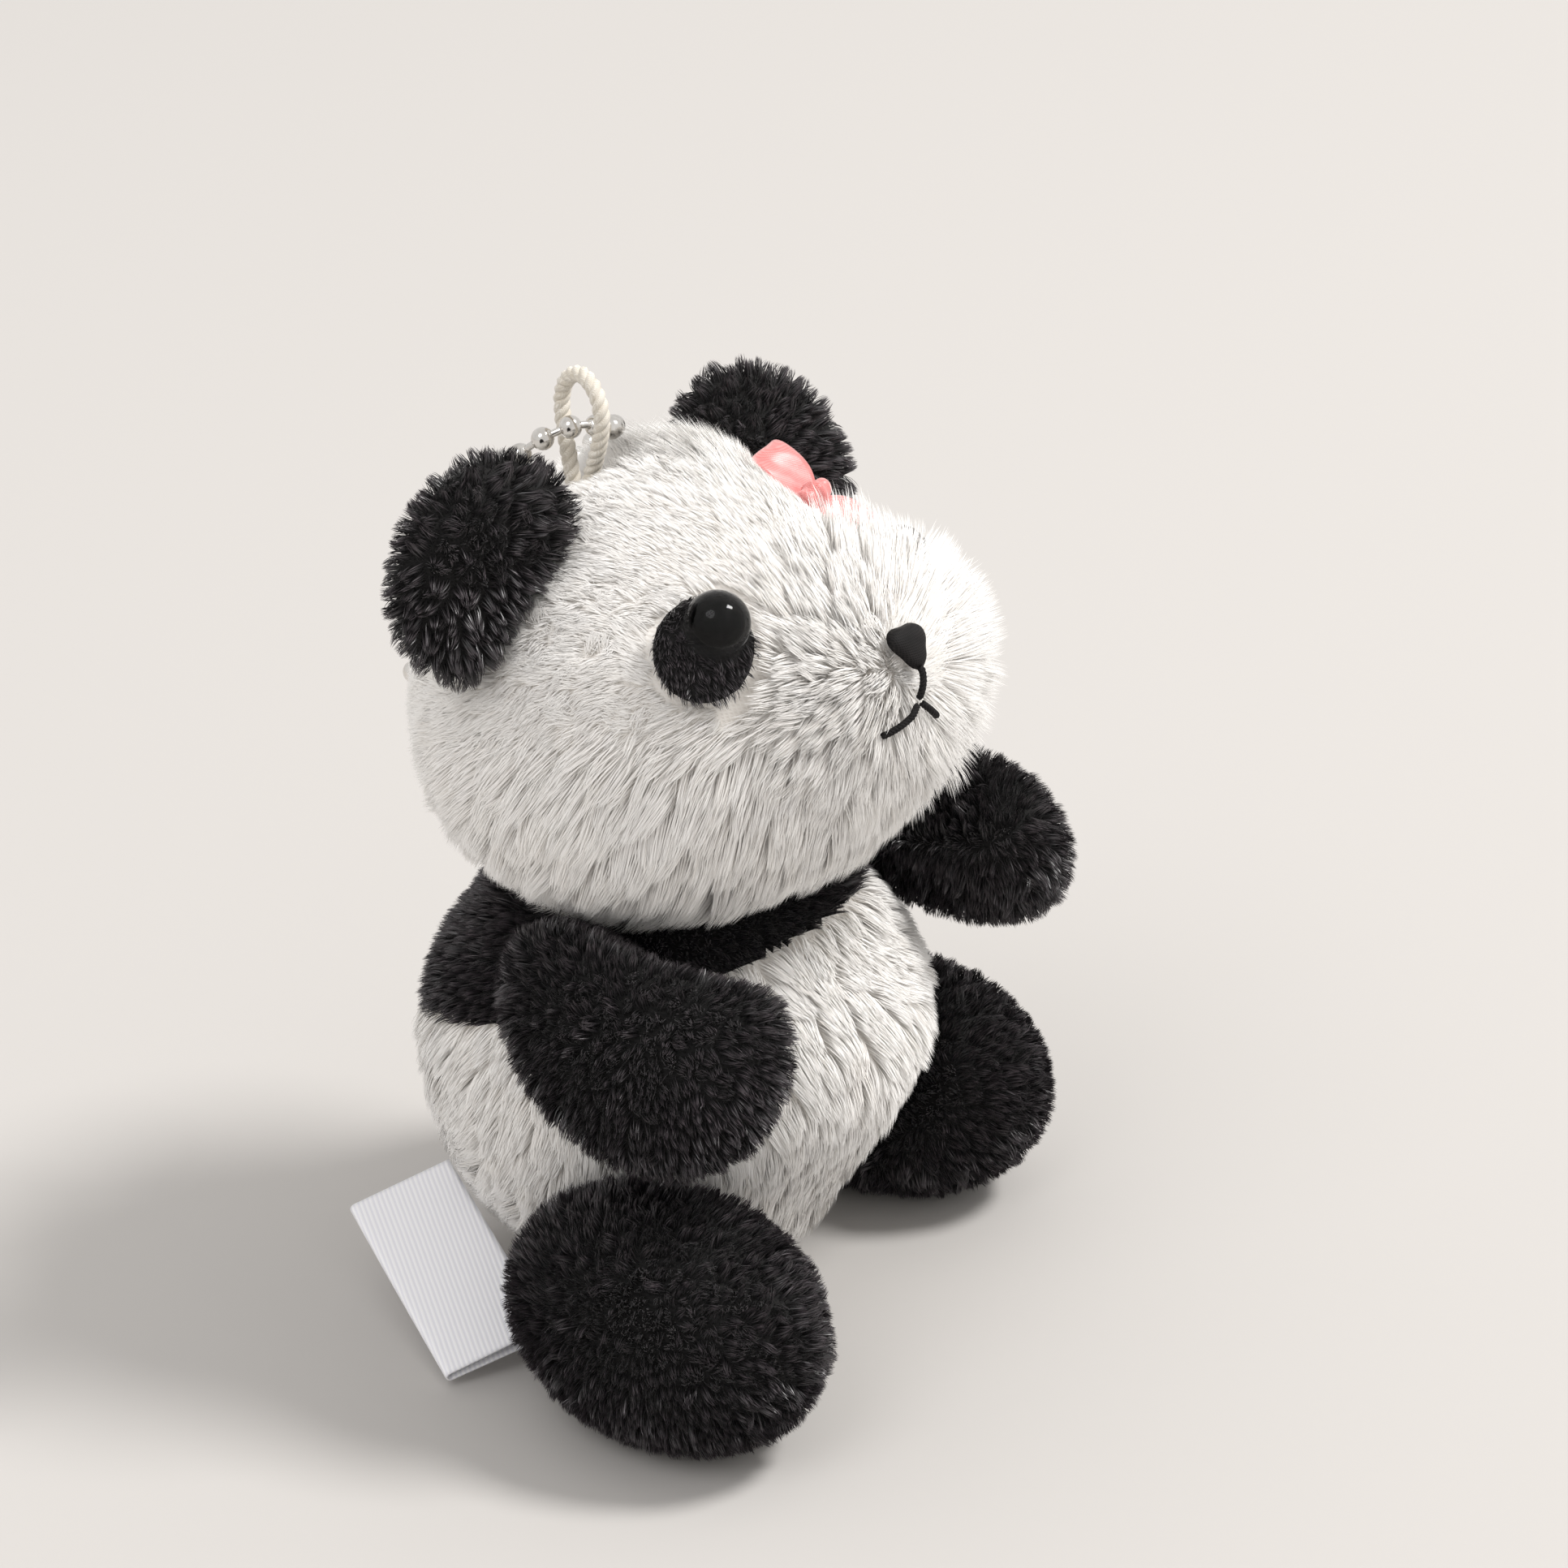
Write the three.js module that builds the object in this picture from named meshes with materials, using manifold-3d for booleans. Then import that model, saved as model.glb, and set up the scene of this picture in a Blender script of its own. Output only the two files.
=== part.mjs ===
// A sitting black and white plush panda mascot, 10 cm tall, with a hanging loop and a ball chain.
// Millimetres, +Z up. The panda faces -Y and its own right side is -X. It sits on the plane Z = 0.
import * as THREE from 'three';
import { mergeVertices } from 'three/addons/utils/BufferGeometryUtils.js';
import Module from 'manifold-3d';

const wasm = await Module();
wasm.setup();

// ---------------------------------------------------------------- driving dimensions
const GAP = 0.3;                 // clearance between pieces that touch
const FABRIC = 1.2;              // thickness of the plush backing
const STUFFING_GAP = 0.9;        // between the backing and the stuffing, which has fewer facets

const PIVOT = new THREE.Vector3(0, 0, 29);     // centre of the torso, about which the head rolls
const TORSO = { x: 27, y: 28, up: 25.5, down: 31 };
const SHOULDER_DOME = 25.5;      // radius of the rounded top of the torso, centred on the pivot
const NECK_CUT = 26.1;           // radius of the hollow under the head, centred on the pivot
const NECK_HOLE = 13.5;          // radius of the opening in the top of the torso skin
const SEAM = { height: 38.5, slope: -0.36 };   // black-to-white seam plane, z = height + slope * y

const HEAD = { x: 30, y: 28, z: 23.5 };
const HEAD_CENTRE = [-1.5, -2, 69.4];
const HEAD_TURN = { pitch: -16, roll: 4, yaw: -6 };

const HEAD_RANGE = { turn: 25, nod: 8 };   // degrees each way

const EAR = { across: 12.5, out: 12, thick: 4, lift: 5.5 };
const EAR_RIGHT = { base: [-22.5, 0, 13.5], out: [-0.75, 0, 0.66], splay: -18 };
const EAR_LEFT = { base: [18.5, 3, 13.4], out: [0.66, 0.1, 0.75], splay: -24 };
const EYE = { azimuth: 42, elevation: 18, radius: 3.3, wall: 0.5, stem: 0.9, washer: 4.2 };
const PATCH = { azimuth: 45.5, elevation: 14, width: 5, height: 5.3, lean: 28, thick: 0.9 };
const NOSE = { azimuth: -3, elevation: 4.5, width: 2.7, height: 2, thick: 1 };
const MOUTH = { joint: [-4, -6.5], right: [-18, -11], left: [5, -11.5], thread: 0.4 };

const LIMB_OPENING = 3.5;        // radius of the hole where a limb is sewn on
const ARM = { width: 13.4, length: 17.5, thick: 8.5, out: 5 };
const ARM_RIGHT = {
  normal: [-0.78, -0.1, 0.62], reach: [0, -0.8, -0.6], along: 11.5, range: [-25, 20],
};
const ARM_LEFT = {
  normal: [0.82, -0.1, 0.57], reach: [0, -1, 0.12], along: 15, range: [-10, 30],
};
const LEG = { width: 13, length: 19, height: 13.4, z: 12.6 };
const LEG_RIGHT = { centre: [-30, -17.5], splay: -8, hip: [-0.84, -0.3, -0.45] };
const LEG_LEFT = { centre: [26.5, -11.8], splay: 8, hip: [0.84, -0.3, -0.45] };

const BOW = {
  azimuth: 35, elevation: 50, along: [0.35, -0.78, -0.52], tilt: 8, loop: 6.2, width: 5.2, rise: 2,
};
const LABEL = { length: 26, reach: 12, layer: 0.35, fold: 0.9 };
const LOOP_CORD = 1.8;
const CHAIN = { ball: 2.4, sleeve: 1.5 };

// Route of the hanging loop, from one end inside the crown to the other, over the top.
const LOOP_ROUTE = [
  [-1.5, 10, 85.1], [-1.6, 9.7, 87.1], [-1.8, 9.1, 89.1], [-2.1, 8.4, 90.9], [-2.4, 7.8, 92.5],
  [-2.6, 7.4, 94.1], [-2.7, 7.3, 95.7], [-2.4, 7.9, 97.3], [-1.9, 9.1, 98.5], [-1.3, 10.6, 99],
  [-0.7, 12.1, 98.5], [-0.2, 13.3, 97.3], [0.1, 13.9, 95.7], [0, 13.8, 94.1], [-0.3, 13.4, 92.5],
  [-0.6, 12.9, 90.9], [-0.8, 12.4, 89.1], [-0.9, 12, 87.1], [-1, 11.8, 85.1],
];

// Route of the ball chain, from one end of its connector, up the back of the head, through the
// hanging loop and down again to the connector's other end.
const CHAIN_ROUTE = [
  [-3.1, 22.9, 50.8], [-4.8, 25, 53.7], [-6, 26.9, 57.6], [-6.5, 28.3, 62], [-6.2, 29, 67.1],
  [-5.4, 28.5, 72.5], [-4.6, 26.9, 77.7], [-4.2, 23.8, 82.6], [-4.5, 20.4, 86.3], [-4.7, 17.3, 89],
  [-4.5, 14.7, 91.6], [-3, 12.1, 93.3], [-1.1, 10.6, 93.6], [1, 9.9, 92.9], [3.6, 10.1, 91.9],
  [6.2, 11.6, 91], [8.7, 13.7, 89.7], [10.6, 16.4, 87.4], [11.8, 19.6, 84], [12.5, 23, 78.7],
  [12.3, 25.4, 73.1], [11.3, 26.6, 67.9], [10.2, 26.7, 63], [8.7, 25.9, 58.3], [6.4, 24.6, 54.5],
  [3.5, 23.4, 51.9],
];

const COLOUR = {
  white: 0xece7df, black: 0x25211f, stuffing: 0xf3f1ea, clear: 0xd8dcdc, pupil: 0x050505,
  washer: 0xe9e6dc, thread: 0x151312, ribbon: 0xeb9a98, label: 0xeff0f2, cord: 0xe9e3d6,
  nickel: 0xc4c4c6,
};

// ---------------------------------------------------------------- small helpers
const radians = THREE.MathUtils.degToRad;
const vector = (list) => new THREE.Vector3(...list);
const root = new THREE.Group();
root.name = 'plush_panda_keychain';

const head = new THREE.Group();
head.position.set(...HEAD_CENTRE);
head.rotation.set(radians(HEAD_TURN.pitch), radians(HEAD_TURN.roll), radians(HEAD_TURN.yaw), 'ZYX');
root.add(head);
root.updateMatrixWorld(true);

function addPiece(parent, name, geometry, colour, roughness, metalness = 0) {
  const material = new THREE.MeshStandardMaterial({ color: colour, roughness, metalness });
  const mesh = new THREE.Mesh(geometry, material);
  mesh.name = name;
  parent.add(mesh);
  return mesh;
}

function toSolid(geometry) {
  const bare = geometry.clone();
  bare.deleteAttribute('normal');
  bare.deleteAttribute('uv');
  const welded = mergeVertices(bare, 1e-4);
  return new wasm.Manifold(new wasm.Mesh({
    numProp: 3,
    vertProperties: new Float32Array(welded.attributes.position.array),
    triVerts: new Uint32Array(welded.index.array),
  }));
}

function toGeometry(solid) {
  const mesh = solid.getMesh();
  const geometry = new THREE.BufferGeometry();
  geometry.setAttribute('position', new THREE.BufferAttribute(mesh.vertProperties, 3));
  geometry.setIndex(new THREE.BufferAttribute(mesh.triVerts, 1));
  geometry.computeVertexNormals();
  return geometry;
}

// A closed surface around the origin whose distance in each direction comes from a formula.
function starSolid(shape, offset, segments, rings) {
  const geometry = new THREE.SphereGeometry(1, segments, rings);
  geometry.rotateX(Math.PI / 2);
  const position = geometry.attributes.position;
  const way = new THREE.Vector3();
  for (let i = 0; i < position.count; i += 1) {
    way.fromBufferAttribute(position, i).normalize();
    way.multiplyScalar(shape(way) + offset);
    position.setXYZ(i, way.x, way.y, way.z);
  }
  return toSolid(geometry);
}

const ellipsoidRadius = (way, x, y, z) => 1 / Math.hypot(way.x / x, way.y / y, way.z / z);
const moved = (solid, matrix) => solid.transform(matrix.elements);
const sphereAt = (point, radius) => {
  const ball = toSolid(new THREE.SphereGeometry(radius, 28, 16));
  return ball.translate([point.x, point.y, point.z]);
};

// A frame with its origin at a point, Z along "out" and Y as near as possible to "up".
function frameAt(point, out, up) {
  const z = out.clone().normalize();
  const x = new THREE.Vector3().crossVectors(up, z).normalize();
  const y = new THREE.Vector3().crossVectors(z, x);
  return new THREE.Matrix4().makeBasis(x, y, z).setPosition(point);
}

// Everything on the inner side of a plane, as a large box.
function behindPlane(point, normal) {
  const size = 160;
  const box = toSolid(new THREE.BoxGeometry(size, size, size).translate(0, 0, -size / 2));
  const up = Math.abs(normal.z) > 0.9 ? new THREE.Vector3(0, 1, 0) : new THREE.Vector3(0, 0, 1);
  return moved(box, frameAt(point, normal, up));
}

function tubeAlong(points, radius, sides, steps) {
  const section = new THREE.Shape();
  for (let i = 0; i < sides; i += 1) {
    const angle = (2 * Math.PI * i) / sides;
    const step = i === 0 ? 'moveTo' : 'lineTo';
    section[step](radius * Math.cos(angle), radius * Math.sin(angle));
  }
  const path = new THREE.CatmullRomCurve3(points.map(vector));
  return new THREE.ExtrudeGeometry(section, { extrudePath: path, steps, bevelEnabled: false });
}

// ---------------------------------------------------------------- torso
function torsoRadius(way) {
  const height = way.z > 0 ? TORSO.up : TORSO.down;
  const body = ellipsoidRadius(way, TORSO.x, TORSO.y, height);
  const lap = swelling(way, [0.35, -0.75, -0.56], 0.1) + swelling(way, [-0.35, -0.75, -0.56], 0.1);
  const toDome = THREE.MathUtils.smoothstep(way.z, 0.12, 0.45);
  return THREE.MathUtils.lerp(body - 4 * lap, SHOULDER_DOME, toDome);
}

function torsoSolid(offset, segments, rings) {
  return starSolid(torsoRadius, offset, segments, rings).translate(PIVOT.toArray());
}

const floorBlock = behindPlane(new THREE.Vector3(0, 0, 0), new THREE.Vector3(0, 0, 1));
const seamNormal = new THREE.Vector3(0, -SEAM.slope, 1).normalize();
const seamPoint = (lift) => new THREE.Vector3(0, 0, SEAM.height).addScaledVector(seamNormal, lift);

function addTorso() {
  const outer = torsoSolid(0, 24, 14).subtract(floorBlock);
  const insideFloor = behindPlane(new THREE.Vector3(0, 0, FABRIC), new THREE.Vector3(0, 0, 1));
  const inner = torsoSolid(-FABRIC, 24, 14).subtract(insideFloor);
  const skin = outer.subtract(inner);
  const aboveSeam = behindPlane(seamPoint(-GAP / 2), seamNormal.clone().negate());
  const belowSeam = behindPlane(seamPoint(GAP / 2), seamNormal);
  const neckHole = toSolid(new THREE.CylinderGeometry(NECK_HOLE, NECK_HOLE, 60, 24))
    .rotate([90, 0, 0]).translate([0, 0, PIVOT.z + 40]);
  const belly = skin.subtract(aboveSeam);
  const yoke = skin.subtract(belowSeam).subtract(neckHole);
  const stuffingFloor = behindPlane(
    new THREE.Vector3(0, 0, FABRIC + STUFFING_GAP), new THREE.Vector3(0, 0, 1));
  const flatTop = behindPlane(new THREE.Vector3(0, 0, PIVOT.z + 20), new THREE.Vector3(0, 0, -1));
  const stuffing = torsoSolid(-FABRIC - STUFFING_GAP, 16, 8).subtract(stuffingFloor)
    .subtract(flatTop);
  addPiece(root, 'torso_belly', toGeometry(belly), COLOUR.white, 0.95);
  addPiece(root, 'torso_yoke', toGeometry(yoke), COLOUR.black, 0.95);
  addPiece(root, 'torso_stuffing', toGeometry(stuffing), COLOUR.stuffing, 1);
}

function addNeckRing() {
  const ring = new THREE.TorusGeometry(NECK_HOLE - 1, 0.6, 5, 18);
  ring.translate(0, 0, PIVOT.z + 21.4);
  addPiece(root, 'neck_thread_ring', mergeVertices(ring), COLOUR.thread, 0.8);
}

// ---------------------------------------------------------------- head
function swelling(way, axis, width) {
  return Math.exp((way.dot(vector(axis).normalize()) - 1) / width);
}

function headRadius(way) {
  return ellipsoidRadius(way, HEAD.x, HEAD.y, HEAD.z)
    + 3.0 * swelling(way, [0, -1, -0.12], 0.045)
    + 1.5 * swelling(way, [-0.8, -0.2, -0.6], 0.12)
    + 1.5 * swelling(way, [0.8, -0.2, -0.6], 0.12)
    + 1.5 * swelling(way, [0.4, -0.9, 0.17], 0.04)
    - 8 * swelling(way, [0.6, -0.54, 0.59], 0.08);
}

const headSolid = (offset, segments, rings) => starSolid(headRadius, offset, segments, rings);
const toHead = head.matrixWorld.clone().invert();
const pivotInHead = PIVOT.clone().applyMatrix4(toHead);

// A direction on the head: azimuth 0 is the middle of the face, positive towards its left ear.
function headWay(azimuth, elevation) {
  const a = radians(azimuth);
  const e = radians(elevation);
  return new THREE.Vector3(Math.sin(a) * Math.cos(e), -Math.cos(a) * Math.cos(e), Math.sin(e));
}

function onHead(azimuth, elevation, offset = 0) {
  const way = headWay(azimuth, elevation);
  return way.multiplyScalar(headRadius(way) + offset);
}

function headNormal(azimuth, elevation) {
  const step = 1.5;
  const across = onHead(azimuth + step, elevation).sub(onHead(azimuth - step, elevation));
  const up = onHead(azimuth, elevation + step).sub(onHead(azimuth, elevation - step));
  return new THREE.Vector3().crossVectors(across, up).normalize();
}

function faceFrame(azimuth, elevation) {
  const up = new THREE.Vector3(0, 0, 1);
  return frameAt(onHead(azimuth, elevation), headNormal(azimuth, elevation), up);
}

function cylinderOut(frame, radius, from, to, sides = 16) {
  const rod = new THREE.CylinderGeometry(radius, radius, to - from, sides);
  rod.rotateX(Math.PI / 2).translate(0, 0, (from + to) / 2);
  return moved(toSolid(rod), frame);
}

function addHead() {
  const neck = sphereAt(pivotInHead, NECK_CUT);
  let skin = headSolid(0, 26, 14).subtract(headSolid(-FABRIC, 26, 14)).subtract(neck);
  let stuffing = headSolid(-FABRIC - STUFFING_GAP, 16, 10)
    .subtract(sphereAt(pivotInHead, NECK_CUT + 0.6));
  for (const side of [-1, 1]) {
    const frame = faceFrame(side * EYE.azimuth, EYE.elevation);
    skin = skin.subtract(cylinderOut(frame, EYE.stem + GAP, -6, 6, 10));
    stuffing = stuffing.subtract(cylinderOut(frame, EYE.washer + 0.6, -4, 10, 12));
  }
  const slot = loopFrame();
  skin = skin.subtract(moved(toSolid(new THREE.BoxGeometry(6.4, 9.6, 12)), slot));
  stuffing = stuffing.subtract(moved(toSolid(new THREE.BoxGeometry(9, 12, 13)), slot));
  addPiece(head, 'head_skin', toGeometry(skin), COLOUR.white, 0.95);
  addPiece(head, 'head_stuffing', toGeometry(stuffing), COLOUR.stuffing, 1);
}

function addEar(name, ear) {
  const out = vector(ear.out).normalize();
  const face = new THREE.Vector3(0, -1, 0).applyAxisAngle(out, radians(ear.splay));
  face.addScaledVector(out, -face.dot(out)).normalize();
  const base = vector(ear.base);
  const across = new THREE.Vector3().crossVectors(out, face).normalize();
  const place = new THREE.Matrix4().makeBasis(across, out, face).setPosition(base);
  const disc = starSolid((way) => ellipsoidRadius(way, EAR.across, EAR.out, EAR.thick), 0, 16, 10)
    .translate([0, EAR.lift, 0]);
  const shell = moved(disc, place).subtract(headSolid(GAP, 26, 14));
  addPiece(head, name, toGeometry(shell), COLOUR.black, 0.95);
}

function addEye(name, side) {
  const frame = faceFrame(side * EYE.azimuth, EYE.elevation);
  const seat = GAP + PATCH.thick + GAP;
  const flat = behindPlane(new THREE.Vector3(0, 0, seat), new THREE.Vector3(0, 0, 1));
  const ball = (radius) => toSolid(new THREE.SphereGeometry(radius, 14, 8))
    .translate([0, 0, seat + 0.3]);
  const lens = ball(EYE.radius).subtract(flat).subtract(ball(EYE.radius - EYE.wall));
  const pupil = ball(EYE.radius - EYE.wall - GAP).subtract(flat);
  const disc = toSolid(new THREE.CylinderGeometry(EYE.washer, EYE.washer, 0.9, 16)
    .rotateX(Math.PI / 2).translate(0, 0, -FABRIC - 1.4));
  const stem = toSolid(new THREE.CylinderGeometry(EYE.stem, EYE.stem, 4.2, 10)
    .rotateX(Math.PI / 2).translate(0, 0, seat - GAP - 2.1));
  addPiece(head, `eye_lens_${name}`, toGeometry(moved(lens, frame)), COLOUR.clear, 0.05);
  addPiece(head, `eye_pupil_${name}`, toGeometry(moved(pupil, frame)), COLOUR.pupil, 0.1);
  addPiece(head, `eye_washer_${name}`, toGeometry(moved(disc.add(stem), frame)), COLOUR.washer, 0.4);
}

function addEyePatch(name, side) {
  const frame = faceFrame(side * PATCH.azimuth, PATCH.elevation);
  const oval = new THREE.CylinderGeometry(1, 1, 14, 18);
  oval.rotateX(Math.PI / 2).scale(PATCH.width, PATCH.height, 1);
  oval.rotateZ(radians(side * PATCH.lean));
  const sheet = headSolid(GAP + PATCH.thick, 26, 14).subtract(headSolid(GAP, 26, 14));
  const eyeFrame = faceFrame(side * EYE.azimuth, EYE.elevation);
  const patch = moved(toSolid(oval), frame).intersect(sheet)
    .subtract(cylinderOut(eyeFrame, EYE.stem + GAP, -6, 6, 10));
  addPiece(head, `eye_patch_${name}`, toGeometry(patch), COLOUR.black, 0.95);
}

function addNose() {
  const frame = faceFrame(NOSE.azimuth, NOSE.elevation);
  const outline = new THREE.Shape();
  outline.moveTo(-NOSE.width, NOSE.height);
  outline.quadraticCurveTo(0, NOSE.height * 1.5, NOSE.width, NOSE.height);
  outline.quadraticCurveTo(NOSE.width * 0.9, -NOSE.height * 0.3, 0, -NOSE.height);
  outline.quadraticCurveTo(-NOSE.width * 0.9, -NOSE.height * 0.3, -NOSE.width, NOSE.height);
  const pad = new THREE.ExtrudeGeometry(outline, {
    depth: NOSE.thick, steps: 1, curveSegments: 4,
    bevelEnabled: true, bevelSize: 0.3, bevelThickness: 0.3, bevelSegments: 1,
  });
  pad.translate(0, 0, 0.9);
  const nose = moved(toSolid(pad), frame).subtract(headSolid(GAP, 26, 14));
  addPiece(head, 'nose', toGeometry(nose), COLOUR.black, 0.9);
}

// A thread laid on the face between two directions given as [azimuth, elevation].
function stitch(from, to, droop) {
  const points = [];
  const pieces = 5;
  for (let i = 0; i <= pieces; i += 1) {
    const t = i / pieces;
    const azimuth = THREE.MathUtils.lerp(from[0], to[0], t);
    const sag = droop * 4 * t * (1 - t);
    const elevation = THREE.MathUtils.lerp(from[1], to[1], t) - sag;
    points.push(onHead(azimuth, elevation, MOUTH.thread + GAP + 0.35).toArray());
  }
  return tubeAlong(points, MOUTH.thread, 6, 8);
}

function addMouth() {
  const top = [NOSE.azimuth, NOSE.elevation - 5.5];
  const joint = MOUTH.joint;
  const addThread = (name, from, to, droop) => {
    addPiece(head, name, stitch(from, to, droop), COLOUR.thread, 0.8);
  };
  addThread('stitch_philtrum', top, [joint[0], joint[1] + 2.2], 0);
  addThread('stitch_mouth_right', [joint[0] - 1.2, joint[1]], MOUTH.right, 2.4);
  addThread('stitch_mouth_left', [joint[0] + 1.2, joint[1]], MOUTH.left, 2.0);
}

function addBow() {
  const at = onHead(BOW.azimuth, BOW.elevation);
  const frame = frameAt(at, headNormal(BOW.azimuth, BOW.elevation), vector(BOW.along).negate())
    .multiply(new THREE.Matrix4().makeRotationX(radians(-BOW.tilt)));
  const loopShape = (way) => {
    const outline = new THREE.Shape();
    outline.moveTo(0, -0.9);
    outline.bezierCurveTo(way * 3, -BOW.rise, way * BOW.loop, -BOW.rise, way * BOW.loop, 0);
    outline.bezierCurveTo(way * BOW.loop, BOW.rise, way * 3, BOW.rise, 0, 0.9);
    return outline;
  };
  const ribbonLoop = (way) => {
    const settings = { depth: BOW.width, steps: 1, curveSegments: 6, bevelEnabled: false };
    const whole = toSolid(new THREE.ExtrudeGeometry(loopShape(way), settings));
    const inside = toSolid(new THREE.ExtrudeGeometry(loopShape(way), settings))
      .scale([0.86, 0.7, 3]).translate([way * 0.35, 0, -BOW.width]);
    const band = whole.subtract(inside);
    const place = new THREE.Matrix4().makeBasis(
      new THREE.Vector3(0, 1, 0), new THREE.Vector3(0, 0, 1), new THREE.Vector3(1, 0, 0));
    return moved(band.translate([way * 1.9, 0, -BOW.width / 2]), place);
  };
  const lift = new THREE.Matrix4().makeTranslation(0, 0, BOW.rise + 2);
  const put = (solid) => moved(moved(solid, lift), frame);
  const knot = starSolid((way) => ellipsoidRadius(way, 2.6, 1.3, 2.0), 0, 10, 8);
  addPiece(head, 'bow_loop_upper', toGeometry(put(ribbonLoop(1))), COLOUR.ribbon, 0.35);
  addPiece(head, 'bow_loop_lower', toGeometry(put(ribbonLoop(-1))), COLOUR.ribbon, 0.35);
  addPiece(head, 'bow_knot', toGeometry(put(knot)), COLOUR.ribbon, 0.35);
}

// ---------------------------------------------------------------- arms and legs
// A stuffed limb: an egg-shaped skin, flat and open where it is sewn on, with stuffing inside.
function addLimb(name, frame, shape, planePoint, planeNormal, range) {
  const toLimb = frame.clone().invert();
  const local = (solid) => moved(solid, toLimb);
  const floor = (lift) => local(behindPlane(
    new THREE.Vector3(0, 0, lift), new THREE.Vector3(0, 0, 1)));
  const headRoom = (margin) => local(wasm.Manifold.union([0, ...range].map((angle) => moved(
    headSweep(margin), turnAbout(planePoint, planeNormal, -angle)))));
  const cut = (lift) => local(behindPlane(
    planePoint.clone().addScaledVector(planeNormal, lift), planeNormal));
  const trim = (lift) => wasm.Manifold.union([cut(lift), floor(lift - GAP), headRoom(lift + GAP)]);
  const hole = planePoint.clone().lerp(new THREE.Vector3().setFromMatrixPosition(frame), 0.45);
  hole.addScaledVector(planeNormal, -planeNormal.dot(hole.clone().sub(planePoint)));
  const opening = local(cylinderOut(frameAt(hole, planeNormal, new THREE.Vector3(0, 0, 1)),
    LIMB_OPENING, -2, GAP + FABRIC + 1, 12));
  const outer = starSolid(shape, 0, 16, 10).subtract(trim(GAP));
  const inner = starSolid(shape, -FABRIC, 16, 10).subtract(trim(GAP + FABRIC));
  const skin = outer.subtract(inner).subtract(opening);
  const filling = starSolid(shape, -FABRIC - STUFFING_GAP, 12, 8)
    .subtract(trim(GAP + FABRIC + STUFFING_GAP));
  const group = new THREE.Group();
  frame.decompose(group.position, group.quaternion, group.scale);
  root.add(group);
  addPiece(group, `${name}_skin`, toGeometry(skin), COLOUR.black, 0.95);
  addPiece(group, `${name}_stuffing`, toGeometry(filling), COLOUR.stuffing, 1);
}

// A turn of "angle" degrees about a line through a point.
function turnAbout(point, axis, angle) {
  const turn = new THREE.Matrix4().makeRotationAxis(axis, radians(angle));
  const there = new THREE.Matrix4().makeTranslation(point);
  const back = new THREE.Matrix4().makeTranslation(point.clone().negate());
  return there.multiply(turn).multiply(back);
}

// All the room that the head takes as it turns and nods, a little larger by "margin".
function headSweep(margin) {
  const sweep = [];
  for (const turn of [-HEAD_RANGE.turn, 0, HEAD_RANGE.turn]) {
    for (const nod of [-HEAD_RANGE.nod, HEAD_RANGE.nod]) {
      const move = turnAbout(PIVOT, new THREE.Vector3(0, 0, 1), turn)
        .multiply(turnAbout(PIVOT, new THREE.Vector3(1, 0, 0), nod))
        .multiply(head.matrixWorld);
      sweep.push(moved(headSolid(margin, 20, 12), move));
    }
  }
  return wasm.Manifold.union(sweep);
}

function addArm(name, arm) {
  const normal = vector(arm.normal).normalize();
  const reach = vector(arm.reach);
  reach.addScaledVector(normal, -reach.dot(normal)).normalize();
  const shoulder = PIVOT.clone().addScaledVector(normal, SHOULDER_DOME);
  const centre = shoulder.clone().addScaledVector(normal, ARM.out)
    .addScaledVector(reach, arm.along);
  const frame = frameAt(centre, normal, reach.clone().negate());
  const shape = (way) => ellipsoidRadius(way, ARM.width, ARM.length, ARM.thick)
    + 1.2 * swelling(way, [0, 1, 0], 0.3);
  addLimb(name, frame, shape, shoulder, normal, arm.range);
}

function addLeg(name, leg) {
  const normal = vector(leg.hip).normalize();
  const hip = PIVOT.clone().addScaledVector(normal, torsoRadius(normal));
  const centre = new THREE.Vector3(leg.centre[0], leg.centre[1], LEG.z);
  const turn = new THREE.Matrix4().makeRotationZ(radians(leg.splay));
  const frame = turn.setPosition(centre);
  const shape = (way) => ellipsoidRadius(way, LEG.width, LEG.length, LEG.height);
  addLimb(name, frame, shape, hip, normal, []);
}

// ---------------------------------------------------------------- trim and hardware
function addLabel() {
  const outline = new THREE.Shape();
  const half = LABEL.fold / 2 + LABEL.layer;
  outline.moveTo(0, -half);
  outline.lineTo(LABEL.reach - half, -half);
  outline.absarc(LABEL.reach - half, 0, half, -Math.PI / 2, Math.PI / 2, false);
  outline.lineTo(0, half);
  outline.lineTo(0, half - LABEL.layer);
  outline.lineTo(LABEL.reach - half, half - LABEL.layer);
  outline.absarc(LABEL.reach - half, 0, half - LABEL.layer, Math.PI / 2, -Math.PI / 2, true);
  outline.lineTo(0, -half + LABEL.layer);
  outline.closePath();
  const strip = new THREE.ExtrudeGeometry(outline, {
    depth: LABEL.length, steps: 1, curveSegments: 5, bevelEnabled: false,
  });
  const along = new THREE.Vector3(-12, -20, -7).normalize();
  const outward = new THREE.Vector3(-0.82, 0.5, -0.3);
  outward.addScaledVector(along, -outward.dot(along)).normalize();
  const across = new THREE.Vector3().crossVectors(along, outward);
  const place = new THREE.Matrix4().makeBasis(outward, across, along)
    .setPosition(new THREE.Vector3(-15.5, 19.5, 11.8));
  const label = moved(toSolid(strip), place).subtract(torsoSolid(GAP, 24, 14));
  addPiece(root, 'label', toGeometry(label), COLOUR.label, 0.45);
}

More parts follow.
